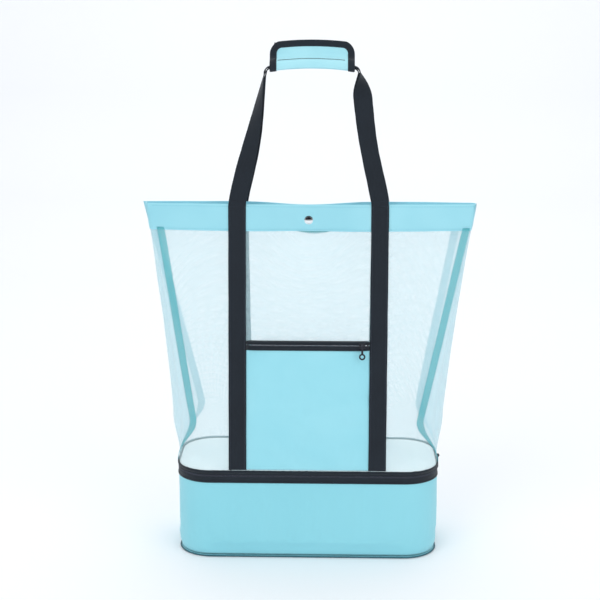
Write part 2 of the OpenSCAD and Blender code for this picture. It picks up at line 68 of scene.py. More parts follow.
HALF_W, HALF_D, WALL_TOP = box_mm("cooler_outer_skin")[1]
RIM = box_mm("upper_zip_tape")[1].z
ZIP_Z = (WALL_TOP + RIM) / 2
BAND_Z, MOUTH = band_low.z, band_high.z
GRIP_Z, GRIP_HALF = grip_low.z, grip_high.x
POCKET_HALF = (pocket_high.x - pocket_low.x) / 2
WEB_W = strap_high.x - strap_low.x
STRAP_X = (strap_high.x + strap_low.x) / 2
CAP_R = (cap_high.x - cap_low.x) / 2
SNAP_Z = (cap_low.z + cap_high.z) / 2

# Radius of the cooler's upright corners, and how far its flat sides reach from the middle
CORNER_R = 50
EAR_W = HALF_W - CORNER_R
EAR_D = HALF_D - CORNER_R
# Half depth of the tote at its mouth
MOUTH_D = 13.8
# The waist's height, where the corner seams come closest, and the seams' half distances there
WAIST = 200
WAIST_HALF = 172
WAIST_D = 42
# The same half distances at the mouth
SEAM_HALF = 226
SEAM_D = 9
# How the bag hangs unevenly: each seam's sideways shift at the mouth and at the waist
SEAM_SET = {1: (14.0, -4.0), -1: (-1.0, 0.0)}
# Half width over the side folds at the waist and at the mouth, and how far each reaches past that
FOLD_WAIST = 200
FOLD_MOUTH = 240
FOLD_SET = {1: 0.6, -1: -5.0}
# The front panel's flat middle, as a share of its width and in millimetres
FLAT_U = 0.55
FLAT_X = 116
# The snap draws the panels together above this height and over this half width
PINCH_FROM = 350
PINCH_REACH = 86
# Thickness of the cloth and of the webbing
CLOTH = 1.2
WEB_T = 1.6
LEAN = math.atan((HALF_D - MOUTH_D) / (MOUTH - RIM))
# The pocket's cloth and its top along the panel from the rim, and how far it stands off
POCKET_FOOT = 2
POCKET_TOP = 177
POCKET_H = 190
POCKET_GAP = 7


# ------------------------------------------------------------ the tote's surfaces

def mix(a, b, t):
    return a + (b - a) * t


def ease(t):
    t = min(1, max(0, t))
    return t * t * (3 - 2 * t)


def hump(distance, width):
    """Bell curve: 1 at distance 0."""
    return math.exp(-(distance / width) ** 2)


def heading(degrees):
    a = math.radians(degrees)
    return math.cos(a), math.sin(a)


def steps(a, b, n):
    return [mix(a, b, i / n) for i in range(n + 1)]


def rumple(x, y, z, size, seed=0):
    """Smooth noise from about -1 to 1 whose lumps are size wide."""
    return noise.noise(Vector((x / size + seed * 7.3, y / size - seed * 3.1, z / size + seed)))


def panel_y(z):
    return HALF_D - (z - RIM) * (HALF_D - MOUTH_D) / (MOUTH - RIM)


def pinch(x, z):
    return ease((z - PINCH_FROM) / (MOUTH - PINCH_FROM)) * ease(1 - abs(x) / PINCH_REACH)


def low_share(z):
    return ease((z - RIM) / (WAIST - RIM))


def high_share(z):
    return (z - WAIST) / (MOUTH - WAIST)


def seam_x(z, side=1):
    """Half width over the corner seams; side is 1 or -1 for the right or left one in front."""
    top, waist = SEAM_SET[side]
    if z < WAIST:
        return mix(HALF_W, WAIST_HALF + waist, low_share(z))
    return mix(WAIST_HALF + waist, SEAM_HALF + top, high_share(z))


def seam_y(z):
    if z < WAIST:
        return mix(EAR_D, WAIST_D, low_share(z))
    return mix(WAIST_D, SEAM_D, ease(high_share(z)))


def fold_x(z, side):
    if z < WAIST:
        return mix(HALF_W, FOLD_WAIST, low_share(z))
    return mix(FOLD_WAIST, FOLD_MOUTH + FOLD_SET[side], high_share(z) ** 1.25)


def front_plan(u, z):
    """Plan point of the front panel: u from -1 to 1 across it, at height z."""
    s, a, w = (1 if u >= 0 else -1), abs(u), low_share(z)
    b = max(0, a - FLAT_U) / (1 - FLAT_U)
    high = max(z, WAIST)
    if a < FLAT_U:
        rim_x, rim_y = EAR_W * a / FLAT_U, panel_y(z)
        up_x = FLAT_X * a / FLAT_U
        up_y = panel_y(z) - pinch(up_x, z) * (panel_y(z) - CLOTH - 0.6)
    else:
        c, sine = heading(90 * b)
        rim_x = EAR_W + CORNER_R * sine
        rim_y = panel_y(z) - CORNER_R * (1 - c)
        up_x = mix(FLAT_X, seam_x(high, s), b)
        up_y = mix(panel_y(z), seam_y(high), b ** 1.6)
    return s * mix(rim_x, up_x, w), -mix(rim_y, up_y, w)


def gusset_plan(t, z, side):
    """Plan point of the right gusset: t from -1 at the front seam to 1 at the back.

    With side -1 it is the left gusset, turned half round.
    """
    y = front_plan(1, z)[1]
    x = mix(seam_x(z, 1), seam_x(z, -1), (t + 1) / 2)
    bulge = 1 - abs(t) ** 2.4
    return mix(x, max(fold_x(z, side), x), bulge), -y * math.sin(math.radians(90 * t))


def offset_point(plan, u, z, out):
    """Point of a plan curve, moved outwards in plan."""
    step = 0.004
    x0, y0 = plan(max(-1, u - step), z)
    x1, y1 = plan(min(1, u + step), z)
    x, y = plan(u, z)
    dx, dy = x1 - x0, y1 - y0
    size = math.hypot(dx, dy) or 1
    return Vector((x + out * dy / size, y - out * dx / size, z))


def front_at(u, z, out=0):
    return offset_point(front_plan, u, z, out)


def gusset_at(t, z, side, out=0):
    return offset_point(lambda at, height: gusset_plan(at, height, side), t, z, out)


def turned(p, side):
    """side 1 keeps a point, -1 turns it half round about the upright axis."""
    return Vector((side * p[0], side * p[1], p[2]))


# ------------------------------------------------------------ mesh building

class Patch:
    """Collects points and faces in millimetres, with a UV map in metres."""

    def __init__(self):
        self.points, self.faces, self.uvs = [], [], []

    def grid(self, rows, wrap=False):
        """Quads through rows of points; with wrap each row closes on itself."""
        base, n, m = len(self.points), len(rows[0]), len(rows)
        spans = n if wrap else n - 1
        for row in rows:
            self.points.extend(row)
        middle, column = rows[m // 2], [row[n // 2] for row in rows]
        along, up = [0.0], [0.0]
        for i in range(spans):
            along.append(along[-1] + (middle[(i + 1) % n] - middle[i]).length)
        for a, b in zip(column, column[1:]):
            up.append(up[-1] + (b - a).length)
        for j in range(m - 1):
            for i in range(spans):
                k = (i + 1) % n
                self.faces.append((base + j * n + i, base + j * n + k,
                                   base + (j + 1) * n + k, base + (j + 1) * n + i))
                self.uvs.append([(along[a] * MM, up[b] * MM)
                                 for a, b in ((i, j), (i + 1, j), (i + 1, j + 1), (i, j + 1))])

    def cap(self, loop):
        self.faces.append(tuple(loop))
        self.uvs.append([(self.points[i].x * MM, self.points[i].y * MM) for i in loop])

    def tube(self, rows, both_ends=True):
        """Wrapped grid whose last row, or both end rows, are filled in."""
        first, n = len(self.points), len(rows[0])
        self.grid(rows, wrap=True)
        if both_ends:
            self.cap(range(first, first + n)[::-1])
        last = len(self.points) - n
        self.cap(range(last, last + n))

    def block(self, centre, a, b, c):
        """Small block with half edges a, b and c."""
        base = len(self.points)
        for k in range(8):
            self.points.append(centre + (a if k & 1 else -a) + (b if k & 2 else -b)
                               + (c if k & 4 else -c))
        for f in ((0, 2, 3, 1), (4, 5, 7, 6), (0, 1, 5, 4), (2, 6, 7, 3), (0, 4, 6, 2), (1, 3, 7, 5)):
            self.faces.append(tuple(base + i for i in f))
            self.uvs.append([(0, 0), (MM, 0), (MM, MM), (0, MM)])

    def make(self, name, material, smooth=True):
        mesh = bpy.data.meshes.new(name)
        mesh.from_pydata([tuple(p * MM) for p in self.points], [], self.faces)
        layer = mesh.uv_layers.new(name="UVMap")
        layer.data.foreach_set("uv", [c for face in self.uvs for uv in face for c in uv])
        mesh.polygons.foreach_set("use_smooth", [smooth] * len(self.faces))
        mesh.materials.append(material)
        obj = bpy.data.objects.new(name, mesh)
        bpy.context.scene.collection.objects.link(obj)
        return obj


def sheet_of(name, rows, material, wrap=False):
    patch = Patch()
    patch.grid(rows, wrap)
    return patch.make(name, material)


def tube_of(name, rows, material, both_ends=True):
    patch = Patch()
    patch.tube(rows, both_ends)
    return patch.make(name, material)


def thicken(obj, thick, offset=-1.0):
    m = obj.modifiers.new("cloth thickness", "SOLIDIFY")
    m.thickness = thick * MM
    m.offset = offset
    return obj


HANG_FRAMES = 24


def hang(obj, held, slack, pressure, sink):
    """Cloth simulation: held points stay put and the rest settles with a little spare cloth.

    What lies behind the cloth lets it sink by no more than sink millimetres.
    """
    group = obj.vertex_groups.new(name="held")
    group.add(list(held), 1.0, "REPLACE")
    cloth = obj.modifiers.new("hang", "CLOTH")
    cloth.settings.vertex_group_mass = group.name
    cloth.settings.quality = 7
    cloth.settings.mass = 0.2
    cloth.settings.bending_stiffness = 0.6
    cloth.settings.air_damping = 3
    cloth.settings.shrink_min = -slack
    cloth.settings.use_pressure = True
    cloth.settings.uniform_pressure_force = pressure
    cloth.collision_settings.use_collision = False
    cloth.point_cache.frame_end = HANG_FRAMES
    scene = bpy.context.scene
    for frame_number in range(1, HANG_FRAMES + 1):
        scene.frame_set(frame_number)
    settled = obj.evaluated_get(bpy.context.evaluated_depsgraph_get())
    points = [v.co.copy() for v in settled.to_mesh().vertices]
    settled.to_mesh_clear()
    obj.modifiers.remove(cloth)
    scene.frame_set(1)
    normals = [v.normal.copy() for v in obj.data.vertices]
    for vertex, point, normal in zip(obj.data.vertices, points, normals):
        sunk = (point - vertex.co).dot(normal) + sink * MM
        vertex.co = point - normal * min(0, sunk)
    obj.data.update()


def edge_points(rows, wrap=False):
    """Indices of a grid's outer points; a wrapped grid has only its first and last row."""
    n, m = len(rows[0]), len(rows)
    ends = list(range(n)) + list(range((m - 1) * n, m * n))
    return ends if wrap else ends + [j * n + i for j in range(m) for i in (0, n - 1)]


def swept_piece(name, stations, profile, material, closed_path=False):
    """Profile carried along stations of (point, side, normal)."""
    rows = [[point + side * a + normal * b for a, b in profile] for point, side, normal in stations]
    if closed_path:
        return sheet_of(name, rows + rows[:1], material, wrap=True)
    return tube_of(name, rows, material)


def rounded_bar(half_w, half_t, r):
    """Rounded rectangle profile, anticlockwise."""
    points = []
    for cx, cy, start in ((half_w - r, half_t - r, 0), (-half_w + r, half_t - r, 90),
                          (-half_w + r, -half_t + r, 180), (half_w - r, -half_t + r, 270)):
        for k in range(3):
            c, s = heading(start + 45 * k)
            points.append((cx + r * c, cy + r * s))
    return points


def lathe(name, profile, centre, axis, material):
    """Turned piece: profile of (radius, height) along axis from centre."""
    a = axis.orthogonal().normalized()
    b = axis.cross(a)
    rows = []
    for r, h in profile:
        row = []
        for c, s in map(heading, range(0, 360, 9)):
            row.append(centre + axis * h + (a * c + b * s) * r)
        rows.append(row)
    return tube_of(name, rows, material)


def sewing(name, lines, material, half, stitch=2.6, gap=1.1):
    """Stitches along lines of (point, normal) pairs, 2 half thick and standing a little proud."""
    patch = Patch()
    for line in lines:
        reach, due = 0.0, gap
        for (a, normal), (b, _) in zip(line, line[1:]):
            length = (b - a).length
            while length > 0 and due <= reach + length:
                along = (b - a) / length
                across = along.cross(normal)
                middle = a.lerp(b, (due - reach) / length)
                patch.block(middle, along * (stitch / 2), across * half, normal * half)
                due += stitch + gap
            reach += length
    return patch.make(name, material, smooth=False)


def put(obj, body, slot, *replaced):
    """A piece that rides on one body and stands for CAD nodes, which it hides; slot is not used."""
    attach(obj, body)
    return stand_for(obj, slot, *replaced)


def stand_for(obj, slot, *replaced):
    if replaced:
        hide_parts(*replaced)
    return obj


# ------------------------------------------------------------ materials

class Shader:
    """Small helper that adds nodes and sets or links their sockets by name."""

    SOCKETS = {"metallic": "Metallic", "coat": "Coat Weight", "sheen": "Sheen Weight",
               "sheen_roughness": "Sheen Roughness", "specular": "Specular IOR Level",
               "glow": "Emission Strength", "glow_colour": "Emission Color"}

    def __init__(self, name):
        self.material = bpy.data.materials.new(name)
        self.material.use_nodes = True
        self.tree = self.material.node_tree
        self.tree.nodes.clear()
        self.place = self.add("TexCoord").outputs["Object"]
        self.uv = self.add("TexCoord").outputs["UV"]

    def add(self, kind, inputs=None, **settings):
        node = self.tree.nodes.new("ShaderNode" + kind)
        for key, value in settings.items():
            setattr(node, key, value)
        for key, value in (inputs or {}).items():
            if isinstance(value, bpy.types.NodeSocket):
                self.tree.links.new(value, node.inputs[key])
            else:
                node.inputs[key].default_value = value
        return node

    def math(self, operation, a, b=0.0, clamp=False):
        return self.add("Math", {0: a, 1: b}, operation=operation, use_clamp=clamp).outputs[0]

    def weighted(self, *terms, plus=0.0, clamp=False):
        """Sum of (value, weight) terms and a number."""
        parts = [self.math("MULTIPLY", value, weight) for value, weight in terms]
        parts += [plus] if plus else []
        total = parts[0]
        for count, part in enumerate(parts[1:], 2):
            total = self.math("ADD", total, part, clamp and count == len(parts))
        return total

    def mixed(self, share, a, b):
        return self.add("Mix", {0: share, 6: a, 7: b}, data_type="RGBA").outputs[2]

    def bands(self, vector, mm, direction="X"):
        """Wave bands mm apart; at scale 1 they are 2 pi / 20 apart."""
        return self.add("TexWave", {"Vector": vector, "Scale": 2 * math.pi / 20 / (mm * MM),
                                    "Distortion": 0.0}, bands_direction=direction).outputs["Fac"]

    def slanted_uv(self):
        return self.add("Mapping", {"Vector": self.uv, "Rotation": (0, 0, math.radians(45))}).outputs[0]

    def noise(self, scale, detail=3.0):
        return self.add("TexNoise", {"Vector": self.place, "Scale": scale, "Detail": detail}).outputs["Fac"]

    def surface(self, colour, roughness, height=None, strength=0.5, depth=0.4, **extra):
        """Principled surface with a bump depth millimetres deep; extra is named as in SOCKETS."""
        inputs = {"Base Color": colour, "Roughness": roughness}
        if height:
            lift = self.add("Bump", {"Strength": strength, "Distance": depth * MM, "Height": height})
            inputs["Normal"] = lift.outputs["Normal"]
        inputs.update({self.SOCKETS[key]: value for key, value in extra.items()})
        return self.add("BsdfPrincipled", inputs).outputs[0]

    def finish(self, shader):
        out = self.add("OutputMaterial")
        self.tree.links.new(shader, out.inputs["Surface"])
        return self.material


def rgba(r, g, b):
    """Linear colour from 8-bit screen values."""
    def linear(c):
        c /= 255
        return c / 12.92 if c <= 0.04045 else ((c + 0.055) / 1.055) ** 2.4
    return linear(r), linear(g), linear(b), 1.0


def dimmed(colour, share):
    return tuple(c * share for c in colour[:3]) + (1.0,)


def woven(name, dark, light, thread=0.7, lumps=9.0, creases=0.15, glow=0.0):
    """Plain-woven cloth: crossing threads, grain, slow colour change and faint creases; its glow is painted
    light, the cloth giving off light in its own colour though it is no lamp.
    """
    s = Shader(name)
    threads = s.math("MAXIMUM", s.bands(s.uv, thread), s.bands(s.uv, thread, "Y"))
    slow, grain, crease = s.noise(lumps, 2.0), s.noise(900.0, 2.0), s.noise(46.0, 4.0)
    tone = s.weighted((slow, 0.75), (threads, 0.12), (grain, 0.13), clamp=True)
    colour = s.mixed(tone, dark, light)
    height = s.weighted((threads, 0.25), (grain, 0.2), (crease, creases * 6))
    rough = s.weighted((grain, 0.16), plus=0.62)
    return s.finish(s.surface(colour, rough, height, 0.35, 0.6, sheen=0.25, sheen_roughness=0.5,
                              specular=0.35, glow_colour=colour, glow=glow))


def webbing(name, dark, light):
    """Ribbed webbing: weft ribs across it, warp cords along it and lint in the grain."""
    s = Shader(name)
    ribs, cords = s.bands(s.uv, 1.5, "Y"), s.bands(s.uv, 1.9)
    lint, wear = s.noise(700.0), s.noise(22.0)
    tone = s.weighted((ribs, 0.34), (cords, 0.12), (lint, 0.3), (wear, 0.3), clamp=True)
    height = s.weighted((ribs, 0.7), (cords, 0.3), (lint, 0.3))
    return s.finish(s.surface(s.mixed(tone, dark, light), 0.78, height, 0.6, 0.5, sheen=0.12,
                              sheen_roughness=0.4, specular=0.3))


def twill(name, dark, light):
    """Black twill tape: fine slanted ribs."""
    s = Shader(name)
    slant, lint, wear = s.bands(s.uv, 1.1, "DIAGONAL"), s.noise(800.0), s.noise(26.0, 2.0)
    tone = s.weighted((slant, 0.3), (lint, 0.35), (wear, 0.35), clamp=True)
    height = s.weighted((slant, 1.0), (lint, 0.5))
    return s.finish(s.surface(s.mixed(tone, dark, light), 0.75, height, sheen=0.15, specular=0.3))


def net(name, dark, light, hole, cover, thread_share, pale_holes=0.0):
    """Open net: slanted threads with see-through holes.

    cover is how much a hole still hides, and pale_holes how far its colour turns to the light one.
    """
    s = Shader(name)
    slanted = s.slanted_uv()
    crossed = s.math("MAXIMUM", s.bands(slanted, hole), s.bands(slanted, hole, "Y"))
    threads = s.math("POWER", crossed, 2.0)
    plain = s.weighted((s.noise(14.0, 2.0), 0.7), (s.noise(600.0, 2.0), 0.3), clamp=True)
    holes = s.math("SUBTRACT", 1.0, threads)
    tone = s.weighted((plain, 1 - pale_holes), (holes, pale_holes), clamp=True)
    cloth = s.surface(s.mixed(tone, dark, light), 0.6, threads, 0.4, sheen=0.3, specular=0.25)
    share = s.weighted((threads, thread_share), plus=cover, clamp=True)
    clear = s.add("BsdfTransparent").outputs[0]
    return s.finish(s.add("MixShader", {0: share, 1: clear, 2: cloth}).outputs[0])


def metal(name, colour, roughness, metallic=1.0, coat=0.0):
    """Metal with faint scratches and handling marks in its gloss."""
    s = Shader(name)
    marks, fine_marks = s.noise(260.0, 5.0), s.noise(2400.0, 2.0)
    rough = s.weighted((marks, 0.16), plus=roughness - 0.08)
    colour = s.mixed(marks, colour, dimmed(colour, 0.82))
    return s.finish(s.surface(colour, rough, fine_marks, 0.12, 0.1, metallic=metallic, coat=coat))


def chrome_dome_with_painted_reflection(name):
    """Chrome dome with a painted reflection: dark where it faces up and bright where it faces down, as if it
    mirrored a dark room above it and a bright table below.
    """
    s = Shader(name)
    up = s.add("SeparateXYZ", {0: s.add("NewGeometry").outputs["Normal"]}).outputs["Z"]
    marks = s.noise(400.0)
    # Painted reflection: up-facing parts turn dark, with a little real darkening from handling marks
    dark = s.weighted((up, 3.6), (marks, 0.25), clamp=True)
    colour = s.mixed(dark, rgba(238, 240, 243), rgba(20, 22, 28))
    return s.finish(s.surface(colour, s.weighted((marks, 0.1), plus=0.12), metallic=0.9))


def foil(name):
    """Embossed aluminium laminate: a diamond emboss with crinkles."""
    s = Shader(name)
    slanted = s.slanted_uv()
    diamonds = s.math("MULTIPLY", s.bands(slanted, 7), s.bands(slanted, 7, "Y"))
    crinkle = s.noise(60.0, 6.0)
    height = s.weighted((diamonds, 0.5), (crinkle, 0.9))
    colour = s.mixed(crinkle, rgba(196, 202, 206), rgba(226, 230, 232))
    return s.finish(s.surface(colour, s.weighted((crinkle, 0.2), plus=0.18), height, 0.6, 1.2,
                              metallic=0.9))


def cells(name, dark, light, size, depth, roughness):
    """Closed-cell foam or napped pile: small irregular cells."""
    s = Shader(name)
    cell = s.add("TexVoronoi", {"Vector": s.place, "Scale": 1 / (size * MM)}).outputs["Distance"]
    tone = s.weighted((cell, 0.5), (s.noise(30.0), 0.5), clamp=True)
    return s.finish(s.surface(s.mixed(tone, light, dark), roughness, cell, depth=depth))


def paper(name, colour):
    """Plain pale studio paper."""
    s = Shader(name)
    return s.finish(s.surface(s.mixed(s.noise(3.0, 2.0), colour, dimmed(colour, 0.99)), 0.95,
                              specular=0.1))


cooler_cloth = woven("aqua oxford cloth", rgba(136, 212, 226), rgba(154, 224, 237), lumps=6.0)
pocket_cloth = woven("aqua pocket cloth", rgba(144, 217, 232), rgba(164, 228, 241), lumps=16.0,
                     creases=0.4)
band_cloth = woven("aqua band cloth", rgba(136, 208, 225), rgba(172, 231, 244), lumps=11.0,
                   creases=0.2)
grip_cloth = woven("aqua grip cloth", rgba(156, 220, 234), rgba(184, 238, 248), lumps=30.0)
# The lining glows a little: painted light that brightens it as if more light reached it through the net and
# the mouth.
lining_cloth = woven("pale lining cloth", rgba(236, 246, 248), rgba(250, 253, 254), lumps=8.0,
                     glow=0.14)
black_web = webbing("navy black webbing", rgba(8, 13, 20), rgba(36, 46, 57))
black_twill = twill("black twill tape", rgba(6, 12, 19), rgba(32, 44, 56))
teal_cord = woven("teal piping cloth", rgba(22, 74, 90), rgba(44, 112, 128), thread=0.6)
panel_net = net("pale aqua net", rgba(206, 241, 250), rgba(222, 248, 253), 1.3, 0.12, 0.40)
gusset_net = net("folded aqua net", rgba(190, 234, 245), rgba(208, 242, 251), 1.3, 0.24, 0.46)
seam_net = net("teal seam tape net", rgba(36, 160, 176), rgba(160, 252, 255), 2.9, 0.1, 0.8,
               pale_holes=0.85)
selvedge = woven("teal net selvedge", rgba(56, 142, 152), rgba(104, 184, 194), thread=0.5)
back_seam_net = net("pale back seam tape net", rgba(176, 232, 243), rgba(200, 242, 250), 1.9, 0.3, 0.4)
chrome = metal("chrome", rgba(206, 208, 212), 0.12)
polished = chrome_dome_with_painted_reflection("polished chrome")
steel = metal("nickel steel", rgba(168, 170, 174), 0.28)
black_zinc = metal("black lacquered zinc", rgba(46, 48, 58), 0.36, metallic=0.6, coat=0.3)
nylon = metal("black nylon coil", rgba(48, 54, 70), 0.42, metallic=0.0)
foil_face = foil("embossed foil")
white_foam = cells("white closed-cell foam", rgba(214, 214, 208), rgba(244, 243, 238), 1.2, 0.3, 0.85)
pile = cells("black hook and loop pile", rgba(22, 22, 28), rgba(64, 64, 72), 0.5, 0.6, 0.95)
aqua_thread = woven("aqua sewing thread", rgba(104, 184, 204), rgba(140, 210, 226), thread=0.3)
black_thread = woven("black sewing thread", rgba(34, 40, 52), rgba(70, 76, 92), thread=0.3)


# ------------------------------------------------------------ plan outline of the cooler

ARC_STEPS = 18
UP = Vector((0, 0, 1))


def arc_points(cx, cy, a0, a1, inset):
    r = CORNER_R - inset
    return [(cx + r * c, cy + r * s, c, s) for c, s in map(heading, steps(a0, a1, ARC_STEPS))]


def straight(x0, y0, x1, y1, nx, ny, n):
    return [(mix(x0, x1, i / n), mix(y0, y1, i / n), nx, ny) for i in range(1, n)]


def zip_route(inset=0):
    """From the rear end of the zip on the right, round the front, to its end on the left."""
    w, d = HALF_W - inset, HALF_D - inset
    route = [(w, mix(EAR_D, -EAR_D, i / 8), 1, 0) for i in range(8)]
    route += arc_points(EAR_W, -EAR_D, 0, -90, inset)
    route += straight(EAR_W, -d, -EAR_W, -d, 0, -1, 44)
    route += arc_points(-EAR_W, -EAR_D, -90, -180, inset)
    route += [(-w, mix(-EAR_D, EAR_D, i / 8), -1, 0) for i in range(1, 9)]
    return route


def rear_corner(side, inset=0):
    """The corner between an end of the zip and the straight hinge at the back."""
    return [(side * x, y, side * nx, ny)
            for x, y, nx, ny in arc_points(EAR_W, EAR_D, 0, 90, inset)]


def whole_route(inset=0):
    """The closed outline, from the rear end of the zip on the right."""
    left = rear_corner(-1, inset)[1:]
    back = straight(-EAR_W, HALF_D - inset, EAR_W, HALF_D - inset, 0, 1, 44)
    right = rear_corner(1, inset)[::-1][:-1]
    return zip_route(inset) + left + back + right


def ring(route, z, out=0):
    """Points of a route at height z, moved outwards by a number or by a function of (x, y, nx, ny)."""
    points = []
    for stop in route:
        x, y, nx, ny = stop
        far = out(*stop) if callable(out) else out
        points.append(Vector((x + nx * far, y + ny * far, z)))
    return points


def outline_stations(route, z, out=0):
    """Stations for swept_piece(): side is up, normal is outwards."""
    return [(p, UP, Vector((nx, ny, 0))) for p, (x, y, nx, ny) in zip(ring(route, z, out), route)]


# ------------------------------------------------------------ cooler

SKIN_LOW = 4
FOOT_HEIGHTS = [SKIN_LOW, 6, 9, 13]
TUB_FOOT_R = 9
PIPING_R = 1.0


def skin_out(z, x, y, nx, ny):
    """Soft dents and faint upright wrinkles of the cooler's wall, which turns in at its foot."""
    middle = math.sin(math.pi * min(1, max(0, (z - SKIN_LOW) / (WALL_TOP - SKIN_LOW))))
    soft = 1.5 * rumple(x, y, z, 95) + 0.6 * rumple(x, y, z * 0.5, 34, 2)
    creases = abs(nx * ny) * 2 * 0.8 * rumple(x * 2.2, y * 2.2, z * 0.4, 30, 5)
    return middle * (soft + creases) * 0.9 - 2.6 * ease((16 - z) / 14)


def cooler_skin():
    rows = []
    for z in FOOT_HEIGHTS + steps(18, WALL_TOP - 4, 22) + [WALL_TOP - 1]:
        rows.append(ring(whole_route()[::-1], z, lambda *stop: skin_out(z, *stop)))
    obj = sheet_of("cooler_wall_cloth", rows, cooler_cloth, wrap=True)
    foot_rows = range((len(FOOT_HEIGHTS) + 1) * len(rows[0]))
    hang(obj, edge_points(rows, wrap=True) + list(foot_rows), 0.006, pressure=0.4, sink=0.2)
    put(thicken(obj, CLOTH), "cooler", "aqua_oxford", "cooler_outer_skin")


def tub(name, inset, floor, top, material, wave=0.0):
    """Open tub of cloth: wall, rounded foot and floor in one sheet."""
    rows = []
    for z in [top] + steps(top - 3, floor + TUB_FOOT_R, 10):
        rows.append(ring(whole_route(inset), z, lambda x, y, nx, ny: -wave * rumple(x, y, z, 26)))
    for c, s in map(heading, (30, 60, 90)):
        rows.append(ring(whole_route(inset + TUB_FOOT_R * (1 - c)), floor + TUB_FOOT_R * (1 - s)))
    for grow in (13, 20, 28, 36):
        rows.append([Vector((x, y, floor + wave * 0.5 * (1 + rumple(x, y, 0, 30))))
                     for x, y, nx, ny in whole_route(min(CORNER_R - 1, inset + grow))])
    return tube_of(name, rows, material, both_ends=False)


def cooler_inside():
    foam = tub("cooler_foam_tub", CLOTH + 0.3, CLOTH + 0.2, WALL_TOP - 0.5, white_foam)
    put(thicken(foam, 4.6), "cooler", "foam", "cooler_foam_wall", "cooler_base_foam")
    lining = tub("cooler_foil_tub", 6.4, 6.6, WALL_TOP - 0.3, foil_face, wave=0.5)
    put(thicken(lining, 0.5), "cooler", "foil", "cooler_foil_liner", "cooler_base_liner")


def cooler_base():
    rows = [ring(whole_route(inset), 0.3) for inset in (2.2, 8, 18, 32, 46)]
    base = thicken(tube_of("cooler_base_cloth", rows, cooler_cloth, both_ends=False), 0.8)
    put(base, "cooler", "aqua_oxford", "cooler_base_panel")
    round_cord = [(PIPING_R * c, PIPING_R * s) for c, s in map(heading, range(0, 360, 36))]
    piping = swept_piece("base_piped_seam", outline_stations(whole_route(), PIPING_R + 0.05, 0.1 - PIPING_R),
                         round_cord, teal_cord, closed_path=True)
    put(piping, "cooler", "teal_piping", "base_piping")


# ------------------------------------------------------------ zip round the cooler

TEETH_PITCH = 1.45
# The tapes stop this many points short of the hinge, whose cloth laps over their ends
HINGE_TRIM = 2
HINGE_LAP = 12
FRAY_STEP = 1.6


def spaced(route, gap):
    """Points an even distance apart along a route, with their outward normals."""
    out, reach, due = [], 0.0, gap / 2
    for (x0, y0, a0, b0), (x1, y1, a1, b1) in zip(route, route[1:]):
        length = math.hypot(x1 - x0, y1 - y0)
        while due <= reach + length:
            t = (due - reach) / length
            normal = Vector((mix(a0, a1, t), mix(b0, b1, t), 0)).normalized()
            out.append((Vector((mix(x0, x1, t), mix(y0, y1, t), 0)), normal))
            due += gap
        reach += length
    return out


def fine(route):
    """The same route with a point about every FRAY_STEP, for edges that fray."""
    out = []
    for a, b in zip(route, route[1:]):
        n = max(1, round(math.dist(a[:2], b[:2]) / FRAY_STEP))
        out += [tuple(mix(p, q, i / n) for p, q in zip(a, b)) for i in range(n)]
    return out + [route[-1]]


def zip_teeth(name, upward, body, slot, node):
    """One side of the coil: a core and teeth that reach between those of the other side."""
    patch = Patch()
    sign = 1 if upward else -1
    for p, normal in spaced(zip_route(), TEETH_PITCH / 2)[int(upward)::2]:
        centre = p + normal * 0.5 + UP * (ZIP_Z + sign * 0.62)
        patch.block(centre, UP.cross(normal) * 0.26, normal * 0.4, UP * 1.1)
    put(patch.make(name, nylon, smooth=False), body, slot, node)
    put(swept_piece(name + "_core", outline_stations(zip_route(), ZIP_Z + sign * 1.5, 0.15),
                    rounded_bar(0.35, 0.3, 0.15), nylon), body, slot)


def band_tape(name, route, z0, z1, out, body, node, closed=False, ragged=0.0):
    """Upright tape round the cooler with a soft edge, from z0 to z1."""
    rows = []
    for share in (0, 0.12, 0.5, 0.88, 1):
        rows.append(ring(route, mix(z0, z1, share), out - 0.35 * (abs(share - 0.5) * 2) ** 4))
    for p, (x, y, nx, ny) in zip(rows[-1], route):
        p.z += ragged * rumple(x, y, 0, 3.2)
    put(thicken(sheet_of(name, rows, black_twill, wrap=closed), 0.7), body, "black_tape", node)


def hinge_cloth():
    back = straight(-EAR_W - HINGE_LAP, HALF_D, EAR_W + HINGE_LAP, HALF_D, 0, 1, 40)
    rows = [ring(back, mix(WALL_TOP - 2, RIM, share), 0.35 + 0.25 * math.sin(math.pi * share))
            for share in steps(0, 1, 10)]
    hinge = thicken(sheet_of("hinge_tape_cloth", rows, black_twill), 0.7)
    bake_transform(hinge)
    stand_for(hinge, "black_tape", "back_hinge_tape")


def cooler_zip():
    whole = whole_route()
    tape = rear_corner(1)[::-1][HINGE_TRIM:-1] + zip_route() + rear_corner(-1)[1:-HINGE_TRIM]
    band_tape("lower_zip_tape_cloth", tape, WALL_TOP - 2, ZIP_Z - 0.5, 0.1, "cooler", "lower_zip_tape")
    band_tape("upper_zip_tape_cloth", tape, ZIP_Z + 0.5, RIM, 0.1, "tote", "upper_zip_tape")
    bead = swept_piece("cooler_rim_bead", outline_stations(whole, WALL_TOP - 1.4, 0.55),
                       rounded_bar(1.5, 0.8, 0.56), black_twill, closed_path=True)
    put(bead, "cooler", "black_tape", "cooler_rim_piping")
    band_tape("tote_hem_cloth", fine(whole + whole[:1])[:-1], RIM - 3.6, RIM + 0.6, 1.0, "tote",
              "mesh_hem_binding", closed=True, ragged=0.9)
    zip_teeth("lower_zip_teeth", False, "cooler", "zip_coil", "lower_zip_coil")
    zip_teeth("upper_zip_teeth", True, "tote", "zip_coil", "upper_zip_coil")
    hinge_cloth()
    for name, z, body in (("lower_zip_stitches", WALL_TOP + 3.4, "cooler"),
                          ("upper_zip_stitches", RIM - 4.6, "tote")):
        line = [(p, normal) for p, up, normal in outline_stations(zip_route(), z, 0.25)]
        put(sewing(name, [line], black_thread, half=0.2), body, "black_tape")


# ------------------------------------------------------------ tote floor

